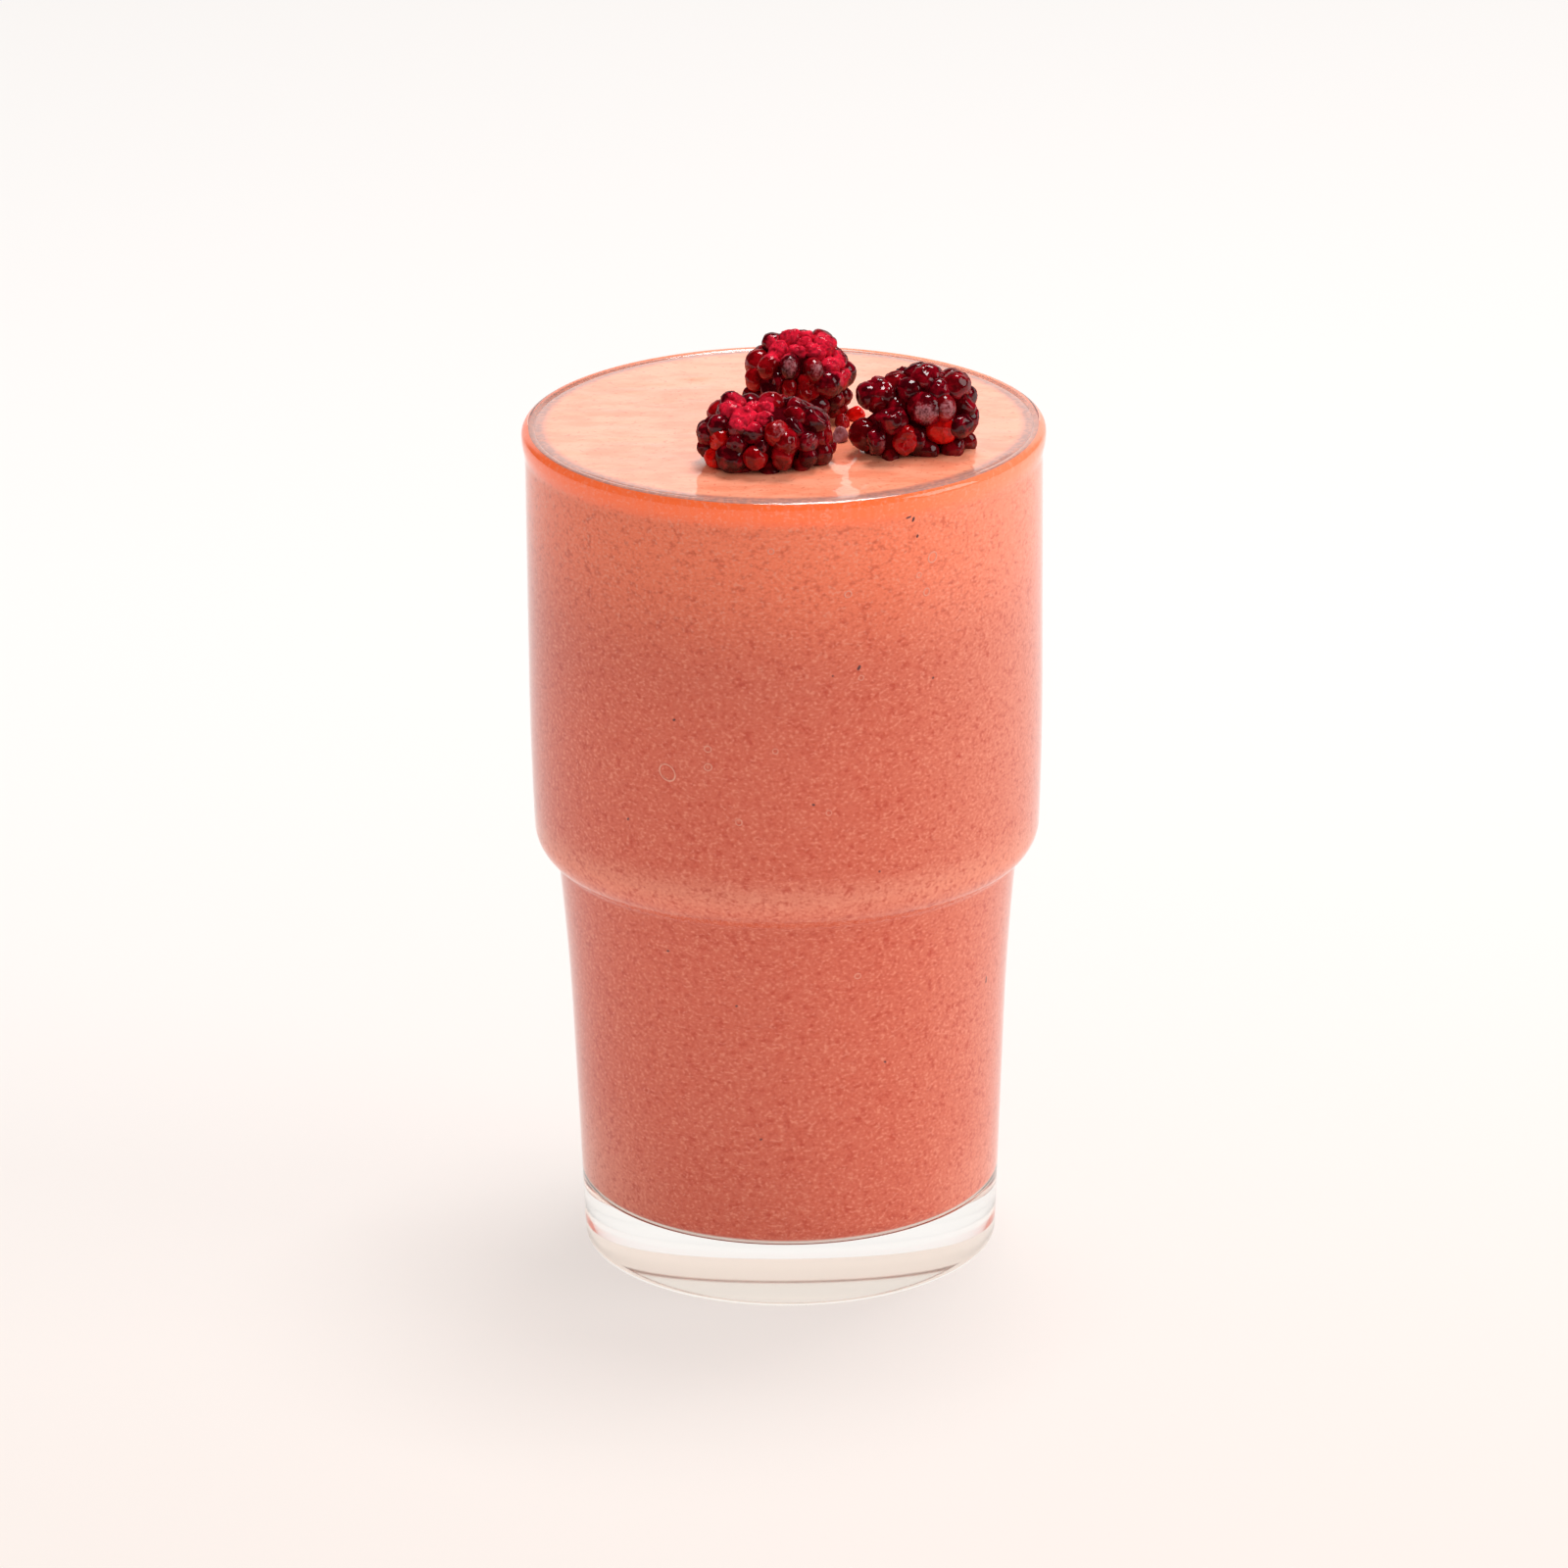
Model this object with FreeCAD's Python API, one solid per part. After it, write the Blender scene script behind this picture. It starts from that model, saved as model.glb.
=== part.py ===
"""Berry lemonade, blended thick, in a stacking tumbler: filled to the brim and topped with three berries.

Millimetres, +Z up. The origin is the centre of the tumbler's foot, on the surface that it stands on. The
front, where two of the berries lie, faces -Y. Each piece is one solid and one STEP file.
"""
import FreeCAD, Part
import math
import os

Vector = FreeCAD.Vector

# ---- Tumbler: outside ----
GLASS_HEIGHT = 138.0
BODY_RADIUS = 41.0          # the upper, wide part
BODY_TAPER = 0.6            # how much narrower that part is at the shoulder
TAPER_RISE = 19.0           # where the narrowing starts, above the ledge
BEAD_PROUD = 0.5            # the rim bead stands this far proud of the body
BEAD_HEIGHT = 4.6
SHOULDER_HEIGHT = 66.5      # where the ledge meets the lower part
SHOULDER_ROUND = 6.8
LEDGE_SLOPE = 30.0          # degrees below level, so that a stacked tumbler seats on it
LEDGE_STEP = 3.45           # how far in the ledge steps
FLARE_STEP = 1.55           # how much narrower the lower part is where its flare starts
FLARE_DROP = 14.7           # that place, below the ledge
FOOT_STEP = 2.05            # and how much narrower than that the foot is
FOOT_ROUND = 1.4
CREASE_ROUND = 0.8
FLARE_ROUND = 430.0         # the long bend of the flare
BARREL_ROUND = 600.0        # the long bend where the body narrows

# ---- Tumbler: inside ----
RIM_WALL = 2.6
BODY_WALL = 2.3
LOWER_WALL = 2.6
FLOOR_THICKNESS = 9.8
FLOOR_ROUND = 4.5
INNER_SHOULDER_ROUND = 4.5
INNER_CREASE_ROUND = 3.4
PUNT_DEPTH = 1.4            # the hollow under the foot
FOOT_RING = 4.4             # the width of the flat ring that the tumbler stands on

# ---- Drink ----
FILL_BELOW_RIM = 0.2        # the crown of the drink's surface, under the top of the rim
MENISCUS_DROP = 1.0         # how far the surface rounds down to where it meets the glass
MENISCUS_WIDTH = 3.6        # over how much of its edge

# ---- Berries ----
# A berry is one or more lobes. Each lobe gives its centre beside the berry's own (across, back and up from
# the drink's surface) and its half sizes the same ways. Rings of drupelets are laid over each lobe.
BERRIES = {
    "berry_front": dict(
        x=-2.7, y=-20.8, turn=5.0, drupelet=1.95, seed=3.0,
        lobes=[(0.0, 0.0, 4.7, 10.9, 8.2, 6.8)],
    ),
    "berry_right": dict(
        x=20.5, y=-15.2, turn=-8.0, drupelet=2.15, seed=11.0,
        lobes=[(1.4, 0.8, 7.4, 8.8, 8.0, 7.0), (-4.0, -2.2, 3.6, 6.0, 5.8, 5.2)],
    ),
    "berry_back": dict(
        x=2.5, y=4.0, turn=20.0, drupelet=2.0, seed=7.0,
        lobes=[(0.0, 0.0, 6.6, 9.2, 8.6, 8.1)],
    ),
}
DRUPELET_PITCH = 1.70       # centre to centre, in drupelet radii
DRUPELET_UNEVEN = 0.11      # how much their sizes differ
DRUPELET_SHIFT = 0.14       # how far they stray from their rings, in drupelet radii
CORE_INSET = 0.08           # how far the core lies under the shell of drupelet centres, in drupelet radii
CORE_STEP = 0.7             # the core's spheres stand apart by at least this much


def uneven(seed, count):
    """A number from -1 to 1 that is the same each time for one seed and count."""
    return 2.0 * math.modf(abs(math.sin(seed * 12.9898 + count * 78.233)) * 4375.85453)[0] - 1.0


# ---- Outlines ----
def rounded_outline(corners):
    """Edges through (radius, height, rounding) corners. Two roundings that need more than the run between
    them are both made smaller."""
    points = [Vector(radius, 0, height) for radius, height, _ in corners]
    last = len(points) - 1
    half_turns = [0.0] * len(points)
    setbacks = [0.0] * len(points)
    for i in range(1, last):
        between = (points[i - 1] - points[i]).getAngle(points[i + 1] - points[i])
        half_turns[i] = (math.pi - between) / 2
        setbacks[i] = corners[i][2] * math.tan(half_turns[i])
    shares = [1.0] * len(points)
    for i in range(last):
        run = points[i].distanceToPoint(points[i + 1])
        wanted = setbacks[i] + setbacks[i + 1]
        if wanted > 0.999 * run:
            share = 0.999 * run / wanted
            shares[i] = min(shares[i], share)
            shares[i + 1] = min(shares[i + 1], share)
    edges = []
    reached = points[0]
    for i in range(1, last + 1):
        setback = setbacks[i] * shares[i]
        back = (points[i - 1] - points[i]).normalize()
        start = points[i] + back * setback
        edges.append(Part.makeLine(reached, start))
        reached = start
        if setback > 0:
            onward = (points[i + 1] - points[i]).normalize()
            inward = (back + onward).normalize()
            radius = setback / math.tan(half_turns[i])
            crown = points[i] + inward * (radius / math.cos(half_turns[i]) - radius)
            reached = points[i] + onward * setback
            edges.append(Part.Arc(start, crown, reached).toShape())
    return edges


def turned(edges):
    """The solid that a closed outline beside the Z axis makes when it is turned round it."""
    return Part.Face(Part.Wire(edges)).revolve(Vector(0, 0, 0), Vector(0, 0, 1), 360)


def cap_arc(centre_height, edge_radius, edge_height):
    """The arc of a shallow dome, from the Z axis out to its edge."""
    rise = centre_height - edge_height
    radius = (edge_radius ** 2 + rise ** 2) / (2 * rise)
    half_angle = math.asin(edge_radius / radius) / 2
    middle = Vector(radius * math.sin(half_angle), 0, centre_height - radius * (1 - math.cos(half_angle)))
    return Part.Arc(Vector(0, 0, centre_height), middle, Vector(edge_radius, 0, edge_height)).toShape()


# ---- Tumbler ----
LEDGE_RADIUS = BODY_RADIUS - BODY_TAPER
NECK_RADIUS = LEDGE_RADIUS - LEDGE_STEP
FLARE_RADIUS = NECK_RADIUS - FLARE_STEP
FOOT_RADIUS = FLARE_RADIUS - FOOT_STEP
FLARE_HEIGHT = SHOULDER_HEIGHT - FLARE_DROP
RIM_RADIUS = BODY_RADIUS + BEAD_PROUD
MOUTH_RADIUS = RIM_RADIUS - RIM_WALL
SLOPE = math.tan(math.radians(LEDGE_SLOPE))


def outer_corners():
    """From the foot ring's inner edge, round the outside, to the top of the rim."""
    return [
        (FOOT_RADIUS - FOOT_RING, 0, 0),
        (FOOT_RADIUS, 0, FOOT_ROUND),
        (FLARE_RADIUS, FLARE_HEIGHT, FLARE_ROUND),
        (NECK_RADIUS, SHOULDER_HEIGHT, CREASE_ROUND),
        (LEDGE_RADIUS, SHOULDER_HEIGHT + LEDGE_STEP * SLOPE, SHOULDER_ROUND),
        (BODY_RADIUS, SHOULDER_HEIGHT + TAPER_RISE, BARREL_ROUND),
        (BODY_RADIUS, GLASS_HEIGHT - BEAD_HEIGHT, BEAD_HEIGHT),
        (RIM_RADIUS, GLASS_HEIGHT - BEAD_HEIGHT / 2, BEAD_HEIGHT),
        (RIM_RADIUS, GLASS_HEIGHT, RIM_WALL / 2),
        (MOUTH_RADIUS, GLASS_HEIGHT, RIM_WALL / 2),
    ]


def inner_corners(top):
    """The inside of the wall, from a height in the mouth down to the middle of the floor."""
    shoulder = LEDGE_RADIUS - BODY_WALL
    neck = NECK_RADIUS - LOWER_WALL
    ledge_over = BODY_WALL / math.cos(math.radians(LEDGE_SLOPE))
    ledge = SHOULDER_HEIGHT - LOWER_WALL * SLOPE + ledge_over
    floor = FOOT_RADIUS + FOOT_STEP * FLOOR_THICKNESS / FLARE_HEIGHT - LOWER_WALL
    return [
        (MOUTH_RADIUS, top, 0),
        (MOUTH_RADIUS, GLASS_HEIGHT - BEAD_HEIGHT / 2, BEAD_HEIGHT),
        (BODY_RADIUS - BODY_WALL, SHOULDER_HEIGHT + TAPER_RISE, BARREL_ROUND),
        (shoulder, ledge + (shoulder - neck) * SLOPE, INNER_SHOULDER_ROUND),
        (neck, ledge, INNER_CREASE_ROUND),
        (FLARE_RADIUS - LOWER_WALL, FLARE_HEIGHT, FLARE_ROUND),
        (floor, FLOOR_THICKNESS, FLOOR_ROUND),
        (0, FLOOR_THICKNESS, 0),
    ]


def make_glass():
    wall_top = GLASS_HEIGHT - RIM_WALL / 2
    outside = rounded_outline(outer_corners() + [(MOUTH_RADIUS, wall_top, 0)])
    inside = rounded_outline(inner_corners(wall_top))
    punt = cap_arc(PUNT_DEPTH, FOOT_RADIUS - FOOT_RING, 0)
    middle = Part.makeLine(Vector(0, 0, FLOOR_THICKNESS), Vector(0, 0, PUNT_DEPTH))
    return turned([middle, punt] + outside + inside)


# ---- Drink ----
def make_drink(berries):
    """Fills the tumbler to the brim, rounds down to the glass at its edge, and is cut round the berries."""
    crown = GLASS_HEIGHT - FILL_BELOW_RIM
    contact = crown - MENISCUS_DROP
    flat = MOUTH_RADIUS - MENISCUS_WIDTH
    middle = Part.makeLine(Vector(0, 0, FLOOR_THICKNESS), Vector(0, 0, crown))
    top = Part.makeLine(Vector(0, 0, crown), Vector(flat, 0, crown))
    rounding = (MENISCUS_WIDTH ** 2 + MENISCUS_DROP ** 2) / (2 * MENISCUS_DROP)
    half_angle = math.asin(MENISCUS_WIDTH / rounding) / 2
    crest = Vector(flat + rounding * math.sin(half_angle), 0, crown - rounding * (1 - math.cos(half_angle)))
    edge = Part.Arc(Vector(flat, 0, crown), crest, Vector(MOUTH_RADIUS, 0, contact)).toShape()
    return turned([middle, top, edge] + rounded_outline(inner_corners(contact))).cut(berries)


# ---- Berries ----
def on_berry(berry, across, back, up):
    """A place beside the berry's own, with the berry's turn."""
    turn = math.radians(berry["turn"])
    return Vector(
        berry["x"] + across * math.cos(turn) - back * math.sin(turn),
        berry["y"] + across * math.sin(turn) + back * math.cos(turn),
        GLASS_HEIGHT - FILL_BELOW_RIM + up,
    )


def lobe_drupelets(berry, lobe):
    """Rings of drupelets down an ellipsoid as (across, back, up, radius), beside the berry's own place.
    What lies wholly under the drink's surface has none."""
    size = berry["drupelet"]
    half_across, half_deep, half_high = (half - size for half in lobe[3:6])
    pitch = DRUPELET_PITCH * size
    mean_half = (half_across + half_deep + 2 * half_high) / 4
    rings = max(3, round(math.pi * mean_half / (pitch * math.sqrt(0.75))))
    drupelets = []
    for ring in range(rings):
        level = math.pi * (ring + 0.5) / rings
        reach = math.sin(level) * (half_across + half_deep) / 2
        count = max(3, round(2 * math.pi * reach / pitch))
        for i in range(count):
            number = 100 * ring + 3 * i
            stray = DRUPELET_SHIFT * size * uneven(berry["seed"], number)
            angle = 2 * math.pi * (i + ring % 2 / 2) / count + berry["seed"] + stray / max(reach, size)
            lift = level + DRUPELET_SHIFT * size * uneven(berry["seed"], number + 1) / mean_half
            across = lobe[0] + half_across * math.sin(lift) * math.cos(angle)
            back = lobe[1] + half_deep * math.sin(lift) * math.sin(angle)
            up = lobe[2] + half_high * math.cos(lift)
            radius = size * (1 + DRUPELET_UNEVEN * uneven(berry["seed"], number + 2))
            if up + radius > 0:
                drupelets.append((across, back, up, radius))
    return drupelets


def inside_lobe(drupelet, lobe, size):
    """Whether a drupelet's centre lies inside a lobe's shell of centres."""
    halves = [half - size for half in lobe[3:6]]
    return sum(((place - middle) / half) ** 2 for place, middle, half in zip(drupelet, lobe, halves)) < 1


def lobe_core(berry, lobe):
    """Spheres that together fill the lobe up to a little under its shell of drupelet centres."""
    inset = berry["drupelet"] * (1 + CORE_INSET)
    halves = [half - inset for half in lobe[3:6]]
    radius = min(halves)
    across, back, up = (half - radius if half - radius > CORE_STEP else 0.0 for half in halves)
    places = {(0.0, 0.0, up), (0.0, 0.0, -up), (across, 0.0, 0.0), (-across, 0.0, 0.0)}
    places |= {(side * across / 2, edge * back, 0.0) for side in (-1, 1) for edge in (-1, 1) if back}
    middle = lobe[:3]
    return [
        Part.makeSphere(radius, on_berry(berry, *(at + away for at, away in zip(middle, place))))
        for place in sorted(places)
    ]


def make_berry(berry):
    """Drupelets over each lobe's core, joined, with what is hidden inside them filled."""
    spheres = []
    lobes = berry["lobes"]
    for lobe in lobes:
        others = [other for other in lobes if other is not lobe]
        for drupelet in lobe_drupelets(berry, lobe):
            if not any(inside_lobe(drupelet, other, berry["drupelet"]) for other in others):
                spheres.append(Part.makeSphere(drupelet[3], on_berry(berry, *drupelet[:3])))
        spheres += lobe_core(berry, lobe)
    whole = spheres[0].multiFuse(spheres[1:])
    biggest = max(whole.Solids, key=lambda solid: solid.Volume)
    return Part.Solid(biggest.OuterShell)


def main():
    os.makedirs("parts", exist_ok=True)
    nodes = {name: make_berry(berry) for name, berry in BERRIES.items()}
    drink = make_drink(list(nodes.values()))
    nodes["drink"] = max(drink.Solids, key=lambda solid: solid.Volume)
    nodes["glass"] = make_glass()
    for name, shape in nodes.items():
        shape.exportStep("parts/" + name + ".step")
        print(name, shape.ShapeType, len(shape.Solids), shape.isValid(), round(shape.Volume / 1000, 2), "ml")


main()
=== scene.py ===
"""Berry lemonade in a stacking tumbler: the looks of the glass, the drink and the three berries on it.

Laid out as a Blender add-on and run as a script. Metres, +Z up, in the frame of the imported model.
"""

import math

import bpy
import numpy as np
from mathutils import Matrix, Vector


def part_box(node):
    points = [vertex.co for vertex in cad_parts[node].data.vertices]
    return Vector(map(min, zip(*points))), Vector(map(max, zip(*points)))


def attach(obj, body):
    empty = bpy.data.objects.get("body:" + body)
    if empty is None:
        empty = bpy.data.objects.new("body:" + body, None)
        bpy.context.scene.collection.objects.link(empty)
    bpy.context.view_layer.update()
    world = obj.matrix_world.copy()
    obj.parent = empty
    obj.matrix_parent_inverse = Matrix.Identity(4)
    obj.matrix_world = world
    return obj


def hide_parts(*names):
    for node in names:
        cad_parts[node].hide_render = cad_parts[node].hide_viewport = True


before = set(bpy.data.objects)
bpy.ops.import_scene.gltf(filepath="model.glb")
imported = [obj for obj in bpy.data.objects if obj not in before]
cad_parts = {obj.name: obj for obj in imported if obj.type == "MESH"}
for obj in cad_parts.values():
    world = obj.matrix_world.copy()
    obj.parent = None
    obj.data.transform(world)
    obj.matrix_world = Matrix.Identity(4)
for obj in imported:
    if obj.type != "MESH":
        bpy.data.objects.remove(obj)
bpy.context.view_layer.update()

bl_info = {
    "name": "Berry lemonade",
    "version": (1, 0, 0),
    "blender": (4, 5, 0),
    "location": "3D View > Sidebar > Lemonade",
    "description": "Builds the looks of a tumbler of blended berry lemonade round its packed model",
    "category": "Object",
}

MM = 0.001
BODY = "root"
GLASS_LOW, GLASS_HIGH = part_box("glass")
DRINK_LOW, DRINK_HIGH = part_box("drink")
ABOUT_Z = 2 * math.pi
ARC_STEP = math.radians(6)      # the longest turn in one step of a rounding
WALL_STEP = 2.5 * MM            # and its longest length, for a rounding of large radius
AROUND = 320                    # steps round the tumbler and round the drink, so that their edges meet


# ---- Numbers and colours ----
def linear(hex_colour):
    """An sRGB hex colour as linear red, green and blue."""
    levels = [int(hex_colour[i:i + 2], 16) / 255 for i in (1, 3, 5)]
    return tuple(v / 12.92 if v <= 0.04045 else ((v + 0.055) / 1.055) ** 2.4 for v in levels)


def per(size):
    """The Scale of a pattern whose features are this size across, in metres."""
    return 1.0 / size


def lattice_noise(points, size, seed):
    """Smooth noise from -1 to 1: a chance value at each corner of cubic cells of this size, blended between
    a cell's eight corners by the step 3t^2 - 2t^3 along each axis."""
    scaled = np.asarray(points, float) / size
    cell = np.floor(scaled)
    t = scaled - cell
    t = t * t * (3 - 2 * t)
    total = np.zeros(scaled.shape[:-1])
    for corner in np.ndindex(2, 2, 2):
        key = (cell + corner) @ np.array((127.1, 311.7, 74.7)) + seed * 19.19
        value = np.modf(np.abs(np.sin(key) * 43758.5453))[0] * 2 - 1
        weight = np.prod(np.where(corner, t, 1 - t), axis=-1)
        total += value * weight
    return total


def unit(vectors):
    """The vectors at length 1."""
    return vectors / np.linalg.norm(vectors, axis=-1, keepdims=True)


def smooth_step(low, high, values):
    """0 below low, 1 above high, and 3t^2 - 2t^3 between."""
    t = np.clip((values - low) / (high - low), 0, 1)
    return t * t * (3 - 2 * t)


# ---- Meshes ----
NO_TRIANGLES = np.zeros((0, 3), int)


def pole_faces(rows, around):
    """Faces over a grid of rows round an axis, closed at both ends by a pole. The vertices are the first
    pole, then each row, then the last pole."""
    row = np.arange(rows - 1)[:, None]
    column = np.arange(around)[None, :]
    following = (column + 1) % around
    start = 1 + row * around
    corners = start + column, start + following, start + around + following, start + around + column
    quads = np.stack(corners, axis=-1).reshape(-1, 4)
    column, following = column[0], following[0]
    last = 1 + (rows - 1) * around
    first_fan = np.stack([np.zeros(around, int), following + 1, column + 1], axis=-1)
    last_fan = np.stack([np.full(around, last + around), last + column, last + following], axis=-1)
    return quads, np.concatenate([first_fan, last_fan])


def with_poles(rows, first, last):
    """Rows of points (row, around, xyz) between two pole points, as one list."""
    return np.concatenate([np.reshape(first, (1, 3)), rows.reshape(-1, 3), np.reshape(last, (1, 3))])


def fan_volume(points, faces):
    """The volume between the origin and the faces, each split into a fan of triangles: below 0 where they
    face inwards."""
    first, *others = np.moveaxis(points[faces], 1, 0)
    return sum((first * np.cross(b, c)).sum() for b, c in zip(others, others[1:])) / 6


def new_mesh(name, points, quads, triangles):
    """A smooth mesh object from whole arrays. Its faces are turned round where they enclose less than
    nothing, so that they face outwards."""
    if fan_volume(points, quads) + fan_volume(points, triangles) < 0:
        quads, triangles = quads[:, ::-1], triangles[:, ::-1]
    mesh = bpy.data.meshes.new(name)
    loops = np.concatenate([np.ravel(quads), np.ravel(triangles)]).astype(np.int32)
    sizes = np.concatenate([np.full(len(quads), 4), np.full(len(triangles), 3)]).astype(np.int32)
    mesh.vertices.add(len(points))
    mesh.vertices.foreach_set("co", np.ravel(points).astype(np.float32))
    mesh.loops.add(len(loops))
    mesh.loops.foreach_set("vertex_index", loops)
    mesh.polygons.add(len(sizes))
    mesh.polygons.foreach_set("loop_start", np.concatenate([[0], np.cumsum(sizes)[:-1]]).astype(np.int32))
    mesh.polygons.foreach_set("use_smooth", np.ones(len(sizes), bool))
    mesh.update(calc_edges=True)
    mesh.validate()
    piece = bpy.data.objects.new(name, mesh)
    bpy.context.scene.collection.objects.link(piece)
    return piece


def point_attribute(piece, name, values):
    """A number at each vertex, which the piece's material reads by name."""
    attribute = piece.data.attributes.new(name, "FLOAT", "POINT")
    attribute.data.foreach_set("value", np.ravel(values).astype(np.float32))


def finish_piece(piece, material, replaced=()):
    """Gives a piece its material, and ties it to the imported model."""
    piece.data.materials.append(material)
    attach(piece, BODY)
    if replaced:
        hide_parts(*replaced)


def rounded_profile(corners, spacing):
    """Points along straight runs between (radius, height, rounding) corners, each corner replaced by the arc
    of its rounding that touches both runs. Where two roundings need more than the run between them, both
    get smaller in step."""
    place = np.array([corner[:2] for corner in corners], float)
    runs = np.diff(place, axis=0)
    lengths = np.linalg.norm(runs, axis=1)
    headings = runs / lengths[:, None]
    cosines = np.clip((headings[:-1] * headings[1:]).sum(1), -1, 1)
    half_turns = np.concatenate([[0], np.arccos(cosines) / 2, [0]])
    wanted = np.array([corner[2] for corner in corners]) * np.tan(half_turns)
    crowding = np.maximum(1, (wanted[:-1] + wanted[1:]) / (0.999 * lengths))    # so that arcs never touch
    setbacks = wanted / np.maximum(np.append(crowding, 1), np.append(1, crowding))
    points = [place[0]]
    for i in range(1, len(place) - 1):
        start = place[i] - headings[i - 1] * setbacks[i]
        end = place[i] + headings[i] * setbacks[i]
        if setbacks[i] == 0:
            points.append(place[i])
            continue
        radius = setbacks[i] / math.tan(half_turns[i])
        inward = headings[i] - headings[i - 1]
        inward /= np.linalg.norm(inward)
        centre = place[i] + inward * radius / math.cos(half_turns[i])
        steps = 2 + int(max(2 * half_turns[i] / ARC_STEP, 2 * half_turns[i] * radius / spacing))
        turn = np.linspace(-half_turns[i], half_turns[i], steps + 1)[:, None]
        along = (headings[i - 1] + headings[i]) / np.linalg.norm(headings[i - 1] + headings[i])
        arc = centre - inward * radius * np.cos(turn) + along * radius * np.sin(turn)
        points.extend([start, *arc[1:-1], end])
    points.append(place[-1])
    return np.array(points)


def lathe(profile):
    """Turns a profile of (radius, height) about the Z axis, its first and last points as poles on the axis
    and each of the others as a ring. Returns points, quads and the triangles round the poles."""
    turn = np.linspace(0, ABOUT_Z, AROUND, endpoint=False)
    radius, height = profile[1:-1].T[..., None]
    rows = np.stack(np.broadcast_arrays(radius * np.cos(turn), radius * np.sin(turn), height), axis=-1)
    points = with_poles(rows, (0, 0, profile[0][1]), (0, 0, profile[-1][1]))
    return points, *pole_faces(len(rows), AROUND)


# ---- Material nodes ----
# The kinds of node used most, with the settings they share.
BSDF, MATH, MIX = "ShaderNodeBsdfPrincipled", "ShaderNodeMath", "ShaderNodeMix"
NOISE, PLACES, RANGE = "ShaderNodeTexNoise", "ShaderNodeTexCoord", "ShaderNodeMapRange"
OUTPUT = "ShaderNodeOutputMaterial"
EASED = {"interpolation_type": "SMOOTHSTEP"}
COLOUR = {"data_type": "RGBA"}
TIMES, MOST = {"operation": "MULTIPLY"}, {"operation": "MAXIMUM"}
TIMES_PLUS = {"operation": "MULTIPLY_ADD"}


def add_node(tree, kind, inputs=(), **settings):
    """Adds a node, sets its properties, and gives its inputs, by name or number or in their order, a value
    or a link. A node given as a value is linked by its first output that is in use."""
    node = tree.nodes.new(kind)
    for key, value in settings.items():
        setattr(node, key, value)
    for key, value in inputs.items() if isinstance(inputs, dict) else enumerate(inputs):
        if isinstance(value, bpy.types.Node):
            value = next(output for output in value.outputs if output.enabled)
        if isinstance(value, bpy.types.NodeSocket):
            tree.links.new(value, node.inputs[key])
        else:
            node.inputs[key].default_value = (
                (*value, 1.0) if node.inputs[key].type == "RGBA" else value)
    return node


def new_material(name):
    """An empty node material, with its tree."""
    material = bpy.data.materials.new(name)
    material.use_nodes = True
    tree = material.node_tree
    tree.nodes.clear()
    return material, tree


# ---- Settings ----
def length_setting(name, default, description):
    """A setting that is a length, its default in millimetres."""
    return bpy.props.FloatProperty(
        name=name, description=description, default=default * MM, unit="LENGTH", precision=5)


def angle_setting(name, default, description):
    """A setting that is an angle, its default in radians."""
    return bpy.props.FloatProperty(
        name=name, description=description, default=default, subtype="ANGLE", unit="ROTATION")


def number_setting(name, default, description):
    """A setting without a unit."""
    return bpy.props.FloatProperty(name=name, description=description, default=default)


def colour_setting(name, default, description):
    """A setting that is a colour, its default an sRGB hex colour."""
    return bpy.props.FloatVectorProperty(
        name=name, description=description, default=linear(default), subtype="COLOR", size=3)


class TumblerSizes(bpy.types.PropertyGroup):
    """The tumbler's own sizes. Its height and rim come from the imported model."""
    body_taper: length_setting("Body taper", 0.6, "How much narrower the wide part is at the shoulder")
    taper_rise: length_setting("Taper rise", 19.0, "Where that narrowing starts, above the ledge")
    taper_round: length_setting("Taper rounding", 600.0, "Radius of the bend where it starts")
    bead_proud: length_setting("Bead", 0.5, "How far the rim bead stands proud of the body")
    bead_height: length_setting("Bead height", 4.6, "Height of the rim bead")
    shoulder_height: length_setting("Shoulder height", 66.5, "Height where the ledge meets the lower part")
    shoulder_round: length_setting("Shoulder rounding", 6.8, "Rounding of the shoulder outside")
    crease_round: length_setting("Crease rounding", 1.6, "Rounding outside under the ledge")
    ledge_slope: angle_setting("Ledge slope", math.radians(30), "How far the ledge falls inwards from level")
    ledge_step: length_setting("Ledge step", 3.45, "How far in the ledge steps")
    flare_step: length_setting("Flare step", 1.55, "How much narrower the lower part gets by its flare")
    flare_drop: length_setting("Flare drop", 14.7, "Where the flare starts, below the ledge")
    flare_round: length_setting("Flare rounding", 430.0, "Radius of the bend where it starts")
    foot_step: length_setting("Foot step", 2.05, "How much narrower than that the foot is")
    foot_round: length_setting("Foot rounding", 1.4, "Rounding round the foot outside")
    foot_ring: length_setting("Foot ring", 4.4, "Width of the ring that the tumbler stands on")
    punt_depth: length_setting("Punt depth", 1.4, "Depth of the hollow under the foot")
    rim_wall: length_setting("Rim wall", 2.6, "Thickness of the wall at the rim")
    body_wall: length_setting("Body wall", 2.3, "Thickness of the wide part's wall")
    lower_wall: length_setting("Lower wall", 2.6, "Thickness of the lower part's wall")
    inner_round: length_setting("Inner rounding", 4.5, "Rounding inside at the shoulder and at the floor")
    inner_crease: length_setting("Inner crease", 3.4, "Rounding inside under the ledge")
    refraction: number_setting("IOR", 1.52, "Index of refraction of soda-lime glass")


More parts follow.
